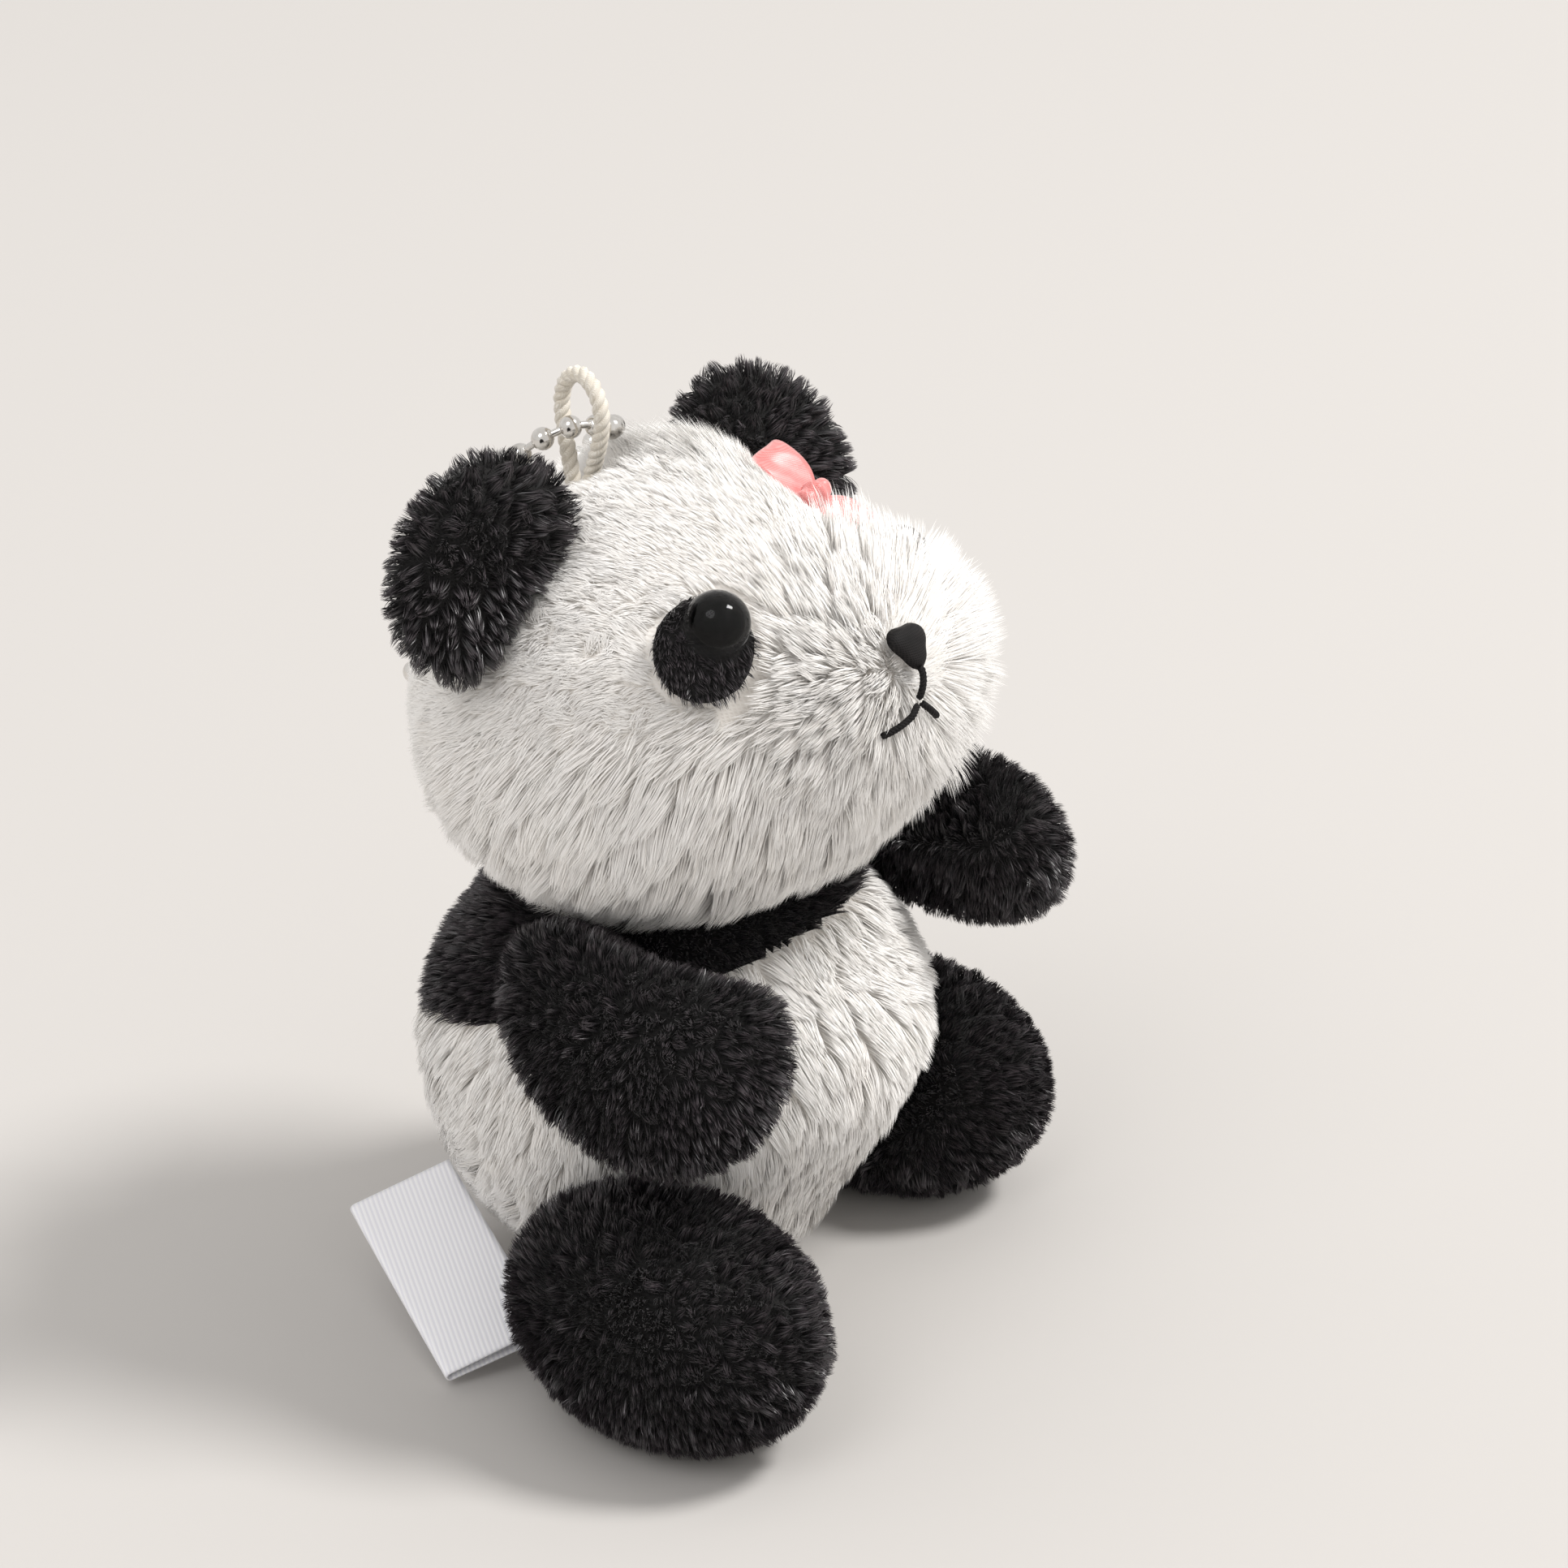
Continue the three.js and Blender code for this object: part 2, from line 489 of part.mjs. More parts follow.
// The crown slot that the loop comes out of, as a frame in the head.
function loopFrame() {
  const foot = vector(LOOP_ROUTE[1]).add(vector(LOOP_ROUTE[17])).multiplyScalar(0.5);
  foot.applyMatrix4(toHead);
  const up = new THREE.Vector3(0.2, 1, 0).transformDirection(toHead);
  const out = new THREE.Vector3(0, 0.1, 1).transformDirection(toHead);
  return frameAt(foot, out, up);
}

function addHangingLoop() {
  addPiece(root, 'hanging_loop', tubeAlong(LOOP_ROUTE, LOOP_CORD / 2, 8, 20), COLOUR.cord, 0.8);
  const foot = vector(LOOP_ROUTE[0]).add(vector(LOOP_ROUTE[18])).multiplyScalar(0.5);
  const knot = starSolid((way) => ellipsoidRadius(way, 2.4, 3.2, 1.5), 0, 10, 8)
    .translate([foot.x, foot.y, foot.z - 2.2]);
  addPiece(root, 'hanging_loop_knot', toGeometry(knot), COLOUR.cord, 0.8);
}

function addBallChain() {
  addPiece(root, 'ball_chain', tubeAlong(CHAIN_ROUTE, CHAIN.ball / 2, 8, 34), COLOUR.nickel, 0.25, 1);
  const start = vector(CHAIN_ROUTE[0]);
  const end = vector(CHAIN_ROUTE[CHAIN_ROUTE.length - 1]);
  const way = end.clone().sub(start);
  const length = way.length() - 2 * (CHAIN.ball / 2 + GAP);
  const sleeve = new THREE.CylinderGeometry(CHAIN.sleeve, CHAIN.sleeve, length, 12);
  const middle = start.clone().add(end).multiplyScalar(0.5);
  sleeve.rotateX(Math.PI / 2);
  const place = frameAt(middle, way, new THREE.Vector3(0, 0, 1));
  const connector = moved(toSolid(sleeve), place);
  addPiece(root, 'chain_connector', toGeometry(connector), COLOUR.nickel, 0.25, 1);
}

addTorso();
addNeckRing();
addHead();
addEar('ear_right', EAR_RIGHT);
addEar('ear_left', EAR_LEFT);
for (const [name, side] of [['right', -1], ['left', 1]]) {
  addEye(name, side);
  addEyePatch(name, side);
}
addNose();
addMouth();
addBow();
addArm('arm_right', ARM_RIGHT);
addArm('arm_left', ARM_LEFT);
addLeg('leg_right', LEG_RIGHT);
addLeg('leg_left', LEG_LEFT);
addLabel();
addHangingLoop();
addBallChain();

export default root;
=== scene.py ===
"""A 10 cm plush panda bag charm: stuffed skins with real pile, domed eyes, ribbon bow, side label,
hanging loop and ball chain. Metres, +Z up, the face looks along -Y and its own right side is -X."""
import math
from collections import namedtuple

import bmesh
import bpy
import numpy as np
from mathutils import Matrix, Vector
from mathutils.bvhtree import BVHTree
from mathutils.kdtree import KDTree


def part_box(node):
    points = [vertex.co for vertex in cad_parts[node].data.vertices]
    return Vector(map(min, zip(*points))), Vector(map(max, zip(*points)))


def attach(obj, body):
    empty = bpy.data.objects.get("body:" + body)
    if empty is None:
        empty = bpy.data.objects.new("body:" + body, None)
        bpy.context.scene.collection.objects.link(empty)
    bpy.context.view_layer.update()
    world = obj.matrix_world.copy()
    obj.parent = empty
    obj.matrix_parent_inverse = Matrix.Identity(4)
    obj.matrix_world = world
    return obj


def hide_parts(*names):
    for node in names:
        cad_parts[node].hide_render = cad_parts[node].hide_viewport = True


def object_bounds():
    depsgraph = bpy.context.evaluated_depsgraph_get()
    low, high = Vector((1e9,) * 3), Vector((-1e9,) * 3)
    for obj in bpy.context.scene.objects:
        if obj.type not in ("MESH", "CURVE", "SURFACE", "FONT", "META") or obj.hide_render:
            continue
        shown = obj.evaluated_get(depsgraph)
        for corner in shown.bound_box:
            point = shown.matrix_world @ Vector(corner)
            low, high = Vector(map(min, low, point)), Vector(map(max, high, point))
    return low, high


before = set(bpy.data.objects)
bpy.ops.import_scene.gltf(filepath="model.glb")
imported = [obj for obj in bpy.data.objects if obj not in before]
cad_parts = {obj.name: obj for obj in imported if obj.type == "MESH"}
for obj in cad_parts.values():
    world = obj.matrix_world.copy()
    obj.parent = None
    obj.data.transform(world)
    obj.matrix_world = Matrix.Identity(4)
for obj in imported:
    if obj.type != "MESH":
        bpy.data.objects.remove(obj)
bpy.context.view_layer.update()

# ---------------- driving dimensions, in metres
MM = 0.001
PIVOT = Vector((0, 0, 29 * MM))  # centre of the torso, about which the head rolls
SEAM_HEIGHT = 38.5 * MM  # black-to-white seam plane on the torso
SEAM_SLOPE = -0.36
HEAD_CENTRE = Vector((-1.5, -2, 69.4)) * MM
HEAD_TURN = (math.radians(-16), math.radians(4), math.radians(-6))

VIEW_AZIMUTH = -58
VIEW_ELEVATION = 28
VIEW_DISTANCE = 450 * MM
VIEW_TARGET = Vector((0, 0, 30 * MM))
VIEW_SHIFT = (0.0678, 0.1392)
LENS = 96.4
SENSOR = 36

LOOP_DIAMETER = 1.8 * MM
LOOP_LAY = 3.2 * MM  # run in which the yarns go once round
LOOP_ROUTE = [
    (-1.5, 10, 85.1), (-1.6, 9.7, 87.1), (-1.8, 9.1, 89.1), (-2.1, 8.4, 90.9), (-2.4, 7.8, 92.5),
    (-2.6, 7.4, 94.1), (-2.7, 7.3, 95.7), (-2.4, 7.9, 97.3), (-1.9, 9.1, 98.5), (-1.3, 10.6, 99),
    (-0.7, 12.1, 98.5), (-0.2, 13.3, 97.3), (0.1, 13.9, 95.7), (0, 13.8, 94.1), (-0.3, 13.4, 92.5),
    (-0.6, 12.9, 90.9), (-0.8, 12.4, 89.1), (-0.9, 12, 87.1), (-1, 11.8, 85.1),
]
BALL_DIAMETER = 2.4 * MM
BALL_PITCH = 3.1 * MM
LINK_SHARE = 0.32  # radius of the links between balls, in ball radii
CHAIN_ROUTE = [
    (-3.1, 22.9, 50.8), (-4.8, 25, 53.7), (-6, 26.9, 57.6), (-6.5, 28.3, 62), (-6.2, 29, 67.1),
    (-5.4, 28.5, 72.5), (-4.6, 26.9, 77.7), (-4.2, 23.8, 82.6), (-4.5, 20.4, 86.3), (-4.7, 17.3, 89),
    (-4.5, 14.7, 91.6), (-3, 12.1, 93.3), (-1.1, 10.6, 93.6), (1, 9.9, 92.9), (3.6, 10.1, 91.9),
    (6.2, 11.6, 91), (8.7, 13.7, 89.7), (10.6, 16.4, 87.4), (11.8, 19.6, 84), (12.5, 23, 78.7),
    (12.3, 25.4, 73.1), (11.3, 26.6, 67.9), (10.2, 26.7, 63), (8.7, 25.9, 58.3), (6.4, 24.6, 54.5),
    (3.5, 23.4, 51.9),
]
CLASP_SHORTER = 1.2 * MM  # the connector stops this much short of the end balls
CLASP_OUTLINE = [  # place as a share of its length, radius in millimetres
    (-0.5, 1.0), (-0.46, 1.36), (-0.40, 1.5), (-0.14, 1.5), (-0.1, 1.28), (0.1, 1.28),
    (0.14, 1.5), (0.40, 1.5), (0.46, 1.36), (0.5, 1.0),
]
PATH_STEP = 0.2 * MM

RAY_START = 120 * MM  # rays at the skins start this far from their centre
MISSED_RAY = 20 * MM  # radius taken where a ray finds only the seam opening
SKIN_SPREAD = 0.6  # share of its neighbours in each smoothing of a skin
HEAD_INSET = 1.4 * MM  # how far the cloth lies inside the CAD skin
TORSO_INSET = 1.0 * MM
LIMB_INSET = 0.8 * MM
EAR_INSET = {"ear_right": 0.7, "ear_left": 1.4}  # the same for the ears, in millimetres

EYE_AZIMUTH = 42
EYE_ELEVATION = 18
EYE_RADIUS = 3.25 * MM
EYE_LIFT = {"right": 1.1, "left": 0.4}  # from the skin to the middle of the dome, millimetres
DOME_BACK = 0.12  # how far behind its middle a dome is cut, in radii
PUPIL_SHARE = 0.66  # the pupil's radius, in radii of the dome
PUPIL_BACK = 0.05
PATCH_GAP_LIFT = 1.9  # height over the skin of the patch's gap for the eye, mm
PATCH_GAP = EYE_RADIUS + 0.1 * MM
NOSE_AZIMUTH = -3
NOSE_ELEVATION = 4.5
NOSE_WIDTH = 2.6 * MM
NOSE_HEIGHT = 2.3 * MM
NOSE_PUFF = 1.0 * MM
NOSE_LIFT = 0.7 * MM
NOSE_CORNERS = 0.16  # how far the three corners stand out of a round outline
MOUTH_THREAD = 0.75 * MM
MOUTH_LAY = 1.1 * MM
MOUTH_LIFT = 1.25  # height over the skin in mid-stitch, millimetres
MOUTH_DIP = 0.4  # how much lower its ends are
MOUTH_STITCHES = [  # name, start and end as (azimuth, elevation), sag
    ("stitch_philtrum", (-3, 0.5), (-4, -5), 0),
    ("stitch_mouth_right", (-4.8, -6.2), (-13, -10.2), 0.3),
    ("stitch_mouth_left", (-3.2, -6.2), (1, -9.6), 0.3),
]
BOW_LEAN = math.radians(-40)  # the bow lies over towards the brow
BOW_TUCK = (-0.9, -0.5, -2.4)  # how far the pile lets the bow sink in, millimetres
BOW_LOOP = 6.6 * MM
BOW_START = 0.6 * MM  # where a loop leaves the knot
BOW_RISE = 1.7 * MM
BOW_WIDTH = 5.2 * MM
BOW_WAIST = 0.45  # how much narrower the ribbon is at the knot
BOW_CLOTH = 0.22 * MM
KNOT_SIZE = (2.5 * MM, 1.45 * MM, 2.1 * MM)
LABEL_ORIGIN = (-15.5, 19.5, 11.8)
LABEL_WIDTH = 26 * MM
LABEL_REACH = 12 * MM
LABEL_LAYER = 0.35 * MM
LABEL_CLOTH = 0.6  # the tape's thickness, as a share of the CAD layer
LABEL_FOLD = 0.9 * MM

# Pile. Strand length and width in millimetres, strands per square millimetre, lean in degrees at
# root and tip, clump spacing in millimetres, how far strands gather in a clump and stray from the
# comb, and the share of the skin's own normal in the shading, which makes fine pile look soft.
Pile = namedtuple("Pile", "length width density lean spacing gather stray even steps")
LONG_STEPS = (0, 0.4, 0.75, 1)  # where a strand bends, from root to tip
SHORT_STEPS = (0, 0.5, 1)
MUZZLE_WHITE = Pile(4.4, 0.10, 20, (28, 66), 1.8, 0.35, 0.17, 0.75, LONG_STEPS)
LONG_WHITE = Pile(5.0, 0.10, 20, (40, 74), 2.4, 0.35, 0.17, 0.75, LONG_STEPS)
VELVET_WHITE = Pile(1.9, 0.09, 34, (32, 70), 1.6, 0.15, 0.24, 0.75, SHORT_STEPS)
BELLY_WHITE = Pile(3.2, 0.10, 20, (34, 72), 2.2, 0.35, 0.2, 0.75, LONG_STEPS)
YOKE_BLACK = Pile(1.9, 0.11, 17, (10, 38), 1.2, 0.45, 0.2, 0, LONG_STEPS)
LIMB_BLACK = Pile(1.9, 0.11, 17, (10, 38), 1.1, 0.45, 0.5, 0, LONG_STEPS)
EAR_BLACK = Pile(1.8, 0.11, 15, (12, 42), 1.3, 0.6, 0.4, 0, LONG_STEPS)
PATCH_BLACK = Pile(1.1, 0.10, 24, (25, 60), 0.8, 0.35, 0.3, 0, SHORT_STEPS)
TAPER = ((0, 0.4, 0.75, 1), (1.0, 0.92, 0.62, 0.0))  # place on a strand, share of its width
CHUNK = 38000  # strands in one piece
LOWEST_STRAND = 0.15 * MM
LOWEST_ROOT = {"torso": 0.9 * MM, "limb": 0.7 * MM}  # below this the cloth rests on the floor

PARTING = (-3, 2)  # azimuth and elevation that the face is combed away from
EYE_CLEARING = 3.8 * MM  # no white pile grows this near an eye's middle,
NOSE_CLEARING = 1.7 * MM  # the parting, where the nose sits,
PATCH_CLEARING = 1.75 * MM  # or a patch,
PATCH_CLEARING_AHEAD = 3.0 * MM  # with more room where the pile leans towards the patch
PATCH_SEARCH = 14 * MM  # farther than this from both eyes there is no patch

FLOOR_HALF = 3.0
FLOOR_DROP = 0.2 * MM
FLOOR_COLOUR = (0.515, 0.497, 0.478, 1)
WORLD_COLOUR = (1.0, 0.98, 0.96, 1)
WORLD_STRENGTH = 0.80
LIGHTS = [  # name, azimuth, elevation, distance, size, watts, colour
    ("key", 35, 55, 3.0, 0.8, 77, (1.0, 0.985, 0.97)),
    ("fill", -95, 50, 3.0, 1.6, 18, (0.98, 0.98, 1.0)),
]
LIGHT_TARGET = Vector((0, 0, 0.05))

random = np.random.default_rng(7)
scene = bpy.context.scene


# ---------------- small helpers
def new_object(name, data):
    """An object in the scene."""
    item = bpy.data.objects.new(name, data)
    scene.collection.objects.link(item)
    return item


def add_piece(mesh, body, slot, *nodes):
    """A visible piece that rides on a body and may stand for CAD nodes; its colour slot is not used."""
    piece = new_object(mesh.name, mesh)
    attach(piece, body)
    if nodes:
        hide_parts(*nodes)
    return piece


def mesh_of(name, shape, *materials):
    """A smooth-shaded mesh made from a bmesh, which is freed."""
    mesh = bpy.data.meshes.new(name)
    shape.to_mesh(mesh)
    shape.free()
    mesh.shade_smooth()
    for material in materials:
        mesh.materials.append(material)
    return mesh


def mesh_from_points(name, points, faces, material):
    """A smooth-shaded mesh made from its points and faces."""
    mesh = bpy.data.meshes.new(name)
    mesh.from_pydata(points, [], faces)
    mesh.shade_smooth()
    mesh.materials.append(material)
    return mesh


def unit(vectors):
    """The same directions at length one."""
    return vectors / np.maximum(np.linalg.norm(vectors, axis=-1, keepdims=True), 1e-12)


def how_far(points, place):
    """The distance of each point from a place."""
    return np.linalg.norm(points - place, axis=1)


def run_along(line):
    """The distance run at each point of a line."""
    return np.concatenate([[0], np.cumsum(np.linalg.norm(np.diff(line, axis=0), axis=1))])


def direction(azimuth, elevation):
    """A unit vector from degrees: azimuth 0 is forwards, positive to the figure's left."""
    a, e = math.radians(azimuth), math.radians(elevation)
    return Vector((math.sin(a) * math.cos(e), -math.cos(a) * math.cos(e), math.sin(e)))


def frame_at(place, x, y, z):
    """A frame with its origin at a place and these three axes."""
    return Matrix.Translation(place) @ Matrix((x, y, z)).transposed().to_4x4()


def box_centre(node):
    """The middle of a CAD node's box."""
    return np.array(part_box(node)).mean(0)


def head_matrix():
    """The head's own frame, pitched, rolled and turned about its centre."""
    pitch, roll, yaw = HEAD_TURN
    turn = Matrix.Rotation(yaw, 4, "Z") @ Matrix.Rotation(roll, 4, "Y") @ Matrix.Rotation(pitch, 4, "X")
    return Matrix.Translation(HEAD_CENTRE) @ turn


def node_tree_of(*nodes):
    """A ray-casting tree of CAD nodes at rest."""
    points, faces = [], []
    for name in nodes:
        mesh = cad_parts[name].data
        start = len(points)
        points += [v.co.copy() for v in mesh.vertices]
        faces += [[start + i for i in p.vertices] for p in mesh.polygons]
    return BVHTree.FromPolygons(points, faces)


def smooth_path(points, spacing):
    """A dense, evenly spaced line through points given in millimetres."""
    p = np.array(points, float) * MM
    ends = np.vstack([2 * p[0] - p[1], p, 2 * p[-1] - p[-2]])
    t = np.linspace(0, 1, 24, endpoint=False)[:, None]
    line = []
    for a, b, c, d in zip(ends, ends[1:], ends[2:], ends[3:]):
        line.append(0.5 * (2 * b + (c - a) * t + (2 * a - 5 * b + 4 * c - d) * t ** 2
                           + (3 * b - a - 3 * c + d) * t ** 3))
    line = np.vstack(line + [p[-1:]])
    run = run_along(line)
    count = max(2, int(round(run[-1] / spacing)) + 1)
    at = np.linspace(0, run[-1], count)
    return np.stack([np.interp(at, run, line[:, k]) for k in range(3)], 1)


# ---------------- materials
def set_inputs(node, **values):
    """Sets a node's inputs by name, with _ for a space."""
    for name, value in values.items():
        node.inputs[name.replace("_", " ")].default_value = value
    return node


def new_material(name):
    """A material, its nodes and links, and its main shader."""
    material = bpy.data.materials.new(name)
    material.use_nodes = True
    nodes = material.node_tree.nodes
    return material, nodes, material.node_tree.links, nodes["Principled BSDF"]


def colour_ramp(nodes, links, factor, stops):
    """Colours at places along a factor."""
    ramp = nodes.new("ShaderNodeValToRGB")
    elements = ramp.color_ramp.elements
    while len(elements) < len(stops):
        elements.new(0.5)
    for element, (place, colour) in zip(elements, stops):
        element.position = place
        element.color = (*colour, 1)
    links.new(factor, ramp.inputs["Fac"])
    return ramp.outputs["Color"]


def add_relief(nodes, links, shader, height, strength, distance):
    """Fine bumps that follow a height."""
    relief = set_inputs(nodes.new("ShaderNodeBump"), Strength=strength, Distance=distance)
    links.new(height, relief.inputs["Height"])
    links.new(relief.outputs["Normal"], shader.inputs["Normal"])


def add_noise(nodes, links, place, scale, detail):
    """Soft noise at a place."""
    noise = set_inputs(nodes.new("ShaderNodeTexNoise"), Scale=scale, Detail=detail)
    links.new(place, noise.inputs["Vector"])
    return noise.outputs["Fac"]


def add_waves(nodes, links, place, direction, scale, distortion):
    """Parallel waves across one axis."""
    wave = set_inputs(nodes.new("ShaderNodeTexWave"), Scale=scale, Distortion=distortion)
    wave.bands_direction = direction
    links.new(place, wave.inputs["Vector"])
    return wave.outputs["Fac"]


def add_maths(nodes, links, operation, first, second):
    """Two values brought together."""
    maths = nodes.new("ShaderNodeMath")
    maths.operation = operation
    links.new(first, maths.inputs[0])
    links.new(second, maths.inputs[1])
    return maths.outputs[0]


def pile_material(name, shaded_root_to_tip, tones_and_glints, roughness, sheen, specular):
    """Plush pile: V of the strand runs from root to tip, with the root darkened as painted shade between
    the strands; U is the strand's own tone, and on black pile its top end gives painted glints.
    """
    material, nodes, links, shader = new_material(name)
    place = nodes.new("ShaderNodeUVMap")
    place.uv_map = "OFBake"
    split = nodes.new("ShaderNodeSeparateXYZ")
    links.new(place.outputs["UV"], split.inputs[0])
    mix = nodes.new("ShaderNodeMix")
    mix.data_type = "RGBA"
    mix.blend_type = "MULTIPLY"
    mix.inputs["Factor"].default_value = 1
    links.new(colour_ramp(nodes, links, split.outputs["Y"], shaded_root_to_tip), mix.inputs["A"])
    links.new(colour_ramp(nodes, links, split.outputs["X"], tones_and_glints), mix.inputs["B"])
    links.new(mix.outputs["Result"], shader.inputs["Base Color"])
    set_inputs(shader, Roughness=roughness, Sheen_Weight=sheen, Specular_IOR_Level=specular)
    return material


def woven_material(name, dark, light, scale, roughness, bump, sheen=0.0, specular=0.3):
    """Cloth: two crossed thread waves broken up by noise, with a matching bump."""
    material, nodes, links, shader = new_material(name)
    place = nodes.new("ShaderNodeTexCoord").outputs["Object"]
    warp, weft = (add_waves(nodes, links, place, way, scale, 0.6) for way in ("X", "Z"))
    thread = add_maths(nodes, links, "MAXIMUM", warp, weft)
    noise = add_noise(nodes, links, place, scale * 0.35, 4)
    height = add_maths(nodes, links, "MULTIPLY", thread, noise)
    links.new(colour_ramp(nodes, links, height, [(0.1, dark), (0.6, light)]), shader.inputs["Base Color"])
    add_relief(nodes, links, shader, height, bump, 0.1 * MM)
    set_inputs(shader, Roughness=roughness, Sheen_Weight=sheen, Specular_IOR_Level=specular)
    return material


def speckled_material(name, dark, light, scale, roughness, metallic=0.0, bump=0.1, specular=0.5):
    """Moulded plastic or plated metal with faint uneven colour and handling marks."""
    material, nodes, links, shader = new_material(name)
    noise = add_noise(nodes, links, nodes.new("ShaderNodeTexCoord").outputs["Object"], scale, 6)
    links.new(colour_ramp(nodes, links, noise, [(0.35, dark), (0.65, light)]), shader.inputs["Base Color"])
    add_relief(nodes, links, shader, noise, bump, 0.02 * MM)
    set_inputs(shader, Roughness=roughness, Metallic=metallic, Specular_IOR_Level=specular)
    return material


WHITE_PILE = pile_material(
    "white_pile",
    # Painted shade: the roots are a little darker and warmer than the tips.
    shaded_root_to_tip=[(0.0, (0.93, 0.905, 0.87)), (0.35, (0.93, 0.912, 0.888)), (1.0, (0.935, 0.927, 0.915))],
    tones_and_glints=[(0.0, (0.94, 0.92, 0.89)), (0.45, (0.985, 0.98, 0.97)), (1.0, (1.0, 1.0, 1.0))],
    roughness=0.6, sheen=0.3, specular=0.25)
BLACK_PILE = pile_material(
    "black_pile",
    # Painted shade at the near-black roots and a painted highlight at the much lighter tips.
    shaded_root_to_tip=[(0.0, (0.006, 0.005, 0.006)), (0.45, (0.022, 0.018, 0.021)), (1.0, (0.13, 0.108, 0.118))],
    # Most strands vary in tone at random; the few brightest, at the top of U, are painted glints.
    tones_and_glints=[(0.0, (0.12, 0.11, 0.12)), (0.7, (0.42, 0.40, 0.42)), (0.97, (1.0, 0.97, 1.0))],
    roughness=0.36, sheen=0.12, specular=0.65)
WHITE_BACKING = woven_material(
    "white_backing", dark=(0.80, 0.76, 0.71), light=(0.90, 0.87, 0.83), scale=900, roughness=0.9, bump=0.4)
BLACK_BACKING = woven_material(
    "black_backing", dark=(0.004, 0.004, 0.004), light=(0.012, 0.011, 0.011), scale=900, roughness=0.9,
    bump=0.4)
CORD = woven_material(
    "cord_yarn", dark=(0.62, 0.56, 0.46), light=(0.86, 0.82, 0.75), scale=2600, roughness=0.75,
    bump=0.6, sheen=0.3)
THREAD = woven_material(
    "black_thread", dark=(0.004, 0.004, 0.004), light=(0.02, 0.018, 0.018), scale=2600, roughness=0.6,
    bump=0.5, specular=0.12)
NOSE_CLOTH = woven_material(
    "nose_cloth", dark=(0.004, 0.004, 0.004), light=(0.016, 0.014, 0.014), scale=1500, roughness=0.6,
    bump=0.5, specular=0.12)
RIBBON = woven_material(
    "pink_satin", dark=(0.55, 0.13, 0.125), light=(0.82, 0.30, 0.285), scale=2200, roughness=0.32,
    bump=0.15, sheen=0.4, specular=0.5)
NICKEL = speckled_material(
    "nickel", dark=(0.62, 0.60, 0.57), light=(0.78, 0.76, 0.73), scale=700, roughness=0.16, metallic=1.0)
PUPIL = speckled_material(
    "eye_black", dark=(0.001, 0.001, 0.001), light=(0.003, 0.003, 0.003), scale=900, roughness=0.5,
    bump=0.0, specular=0.05)
WASHER = speckled_material(
    "washer_plastic", dark=(0.70, 0.68, 0.62), light=(0.80, 0.78, 0.73), scale=500, roughness=0.4)
# Grey on the cut back of each clear dome, seen round the pupil through the plastic: a painted reflection
# of the surroundings in the dome's rim.
RIM_REFLECTION_GREY = speckled_material(
    "eye_rim_reflection_grey", dark=(0.40, 0.39, 0.38), light=(0.52, 0.51, 0.50), scale=700, roughness=0.5)


def clear_material():
    """Clear plastic, polished a little unevenly."""
    material, nodes, links, shader = new_material("clear_eye")
    noise = add_noise(nodes, links, nodes.new("ShaderNodeTexCoord").outputs["Object"], 260, 2)
    rough = set_inputs(nodes.new("ShaderNodeMapRange"), To_Min=0.01, To_Max=0.06)
    links.new(noise, rough.inputs["Value"])
    links.new(rough.outputs["Result"], shader.inputs["Roughness"])
    set_inputs(shader, Base_Color=(0.93, 0.93, 0.92, 1), Transmission_Weight=1, IOR=1.25,
               Specular_IOR_Level=0.35, Sheen_Weight=0.3, Sheen_Roughness=0.25)
    return material


def satin_tape_material():
    """White satin tape with fine slanting ribs."""
    material, nodes, links, shader = new_material("white_satin")
    turn = set_inputs(nodes.new("ShaderNodeMapping"), Rotation=(0.3, 0.5, 0.9))
    links.new(nodes.new("ShaderNodeTexCoord").outputs["Object"], turn.inputs["Vector"])
    ribs = add_waves(nodes, links, turn.outputs["Vector"], "X", 620, 0.4)
    colours = colour_ramp(nodes, links, ribs, [(0.2, (0.79, 0.79, 0.84)), (0.7, (0.91, 0.91, 0.93))])
    links.new(colours, shader.inputs["Base Color"])
    add_relief(nodes, links, shader, ribs, 0.35, 0.06 * MM)
    set_inputs(shader, Roughness=0.36, Sheen_Weight=0.3)
    return material


CLEAR = clear_material()
SATIN_TAPE = satin_tape_material()


def dress_cad_node(name, material):
    """A CAD piece that stays as it is, with a finished material."""
    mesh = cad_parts[name].data
    mesh.materials.clear()
    mesh.materials.append(material)


# ---------------- stuffed skins
def outer_skin(name, nodes, centre, inset, level, smoothing):
    """The outside of CAD nodes as a fine, smooth, closed mesh, a little inside it."""
    tree = node_tree_of(*nodes)
    shape = bmesh.new()
    bmesh.ops.create_icosphere(shape, subdivisions=level, radius=1)
    distance = []
    for vertex in shape.verts:
        way = vertex.co.normalized()
        hit = tree.ray_cast(centre + way * RAY_START, -way, RAY_START)[0]
        distance.append((hit - centre).length if hit else MISSED_RAY)
    distance = np.array(distance)
    pairs = np.array([[e.verts[0].index, e.verts[1].index] for e in shape.edges])
    degree = np.bincount(pairs.ravel(), minlength=len(distance))
    for _ in range(smoothing):
        total = np.bincount(pairs[:, 0], distance[pairs[:, 1]], len(distance))
        total += np.bincount(pairs[:, 1], distance[pairs[:, 0]], len(distance))
        distance = (1 - SKIN_SPREAD) * distance + SKIN_SPREAD * total / degree
    for vertex, length in zip(shape.verts, distance):
        vertex.co = centre + vertex.co.normalized() * (length - inset)
    shape.normal_update()
    return mesh_of(name, shape)


def add_skin(mesh, backing, body, slot, nodes):
    """A stuffed skin that stands for its CAD nodes."""
    mesh.materials.append(backing)
    add_piece(mesh, body, slot, *nodes)


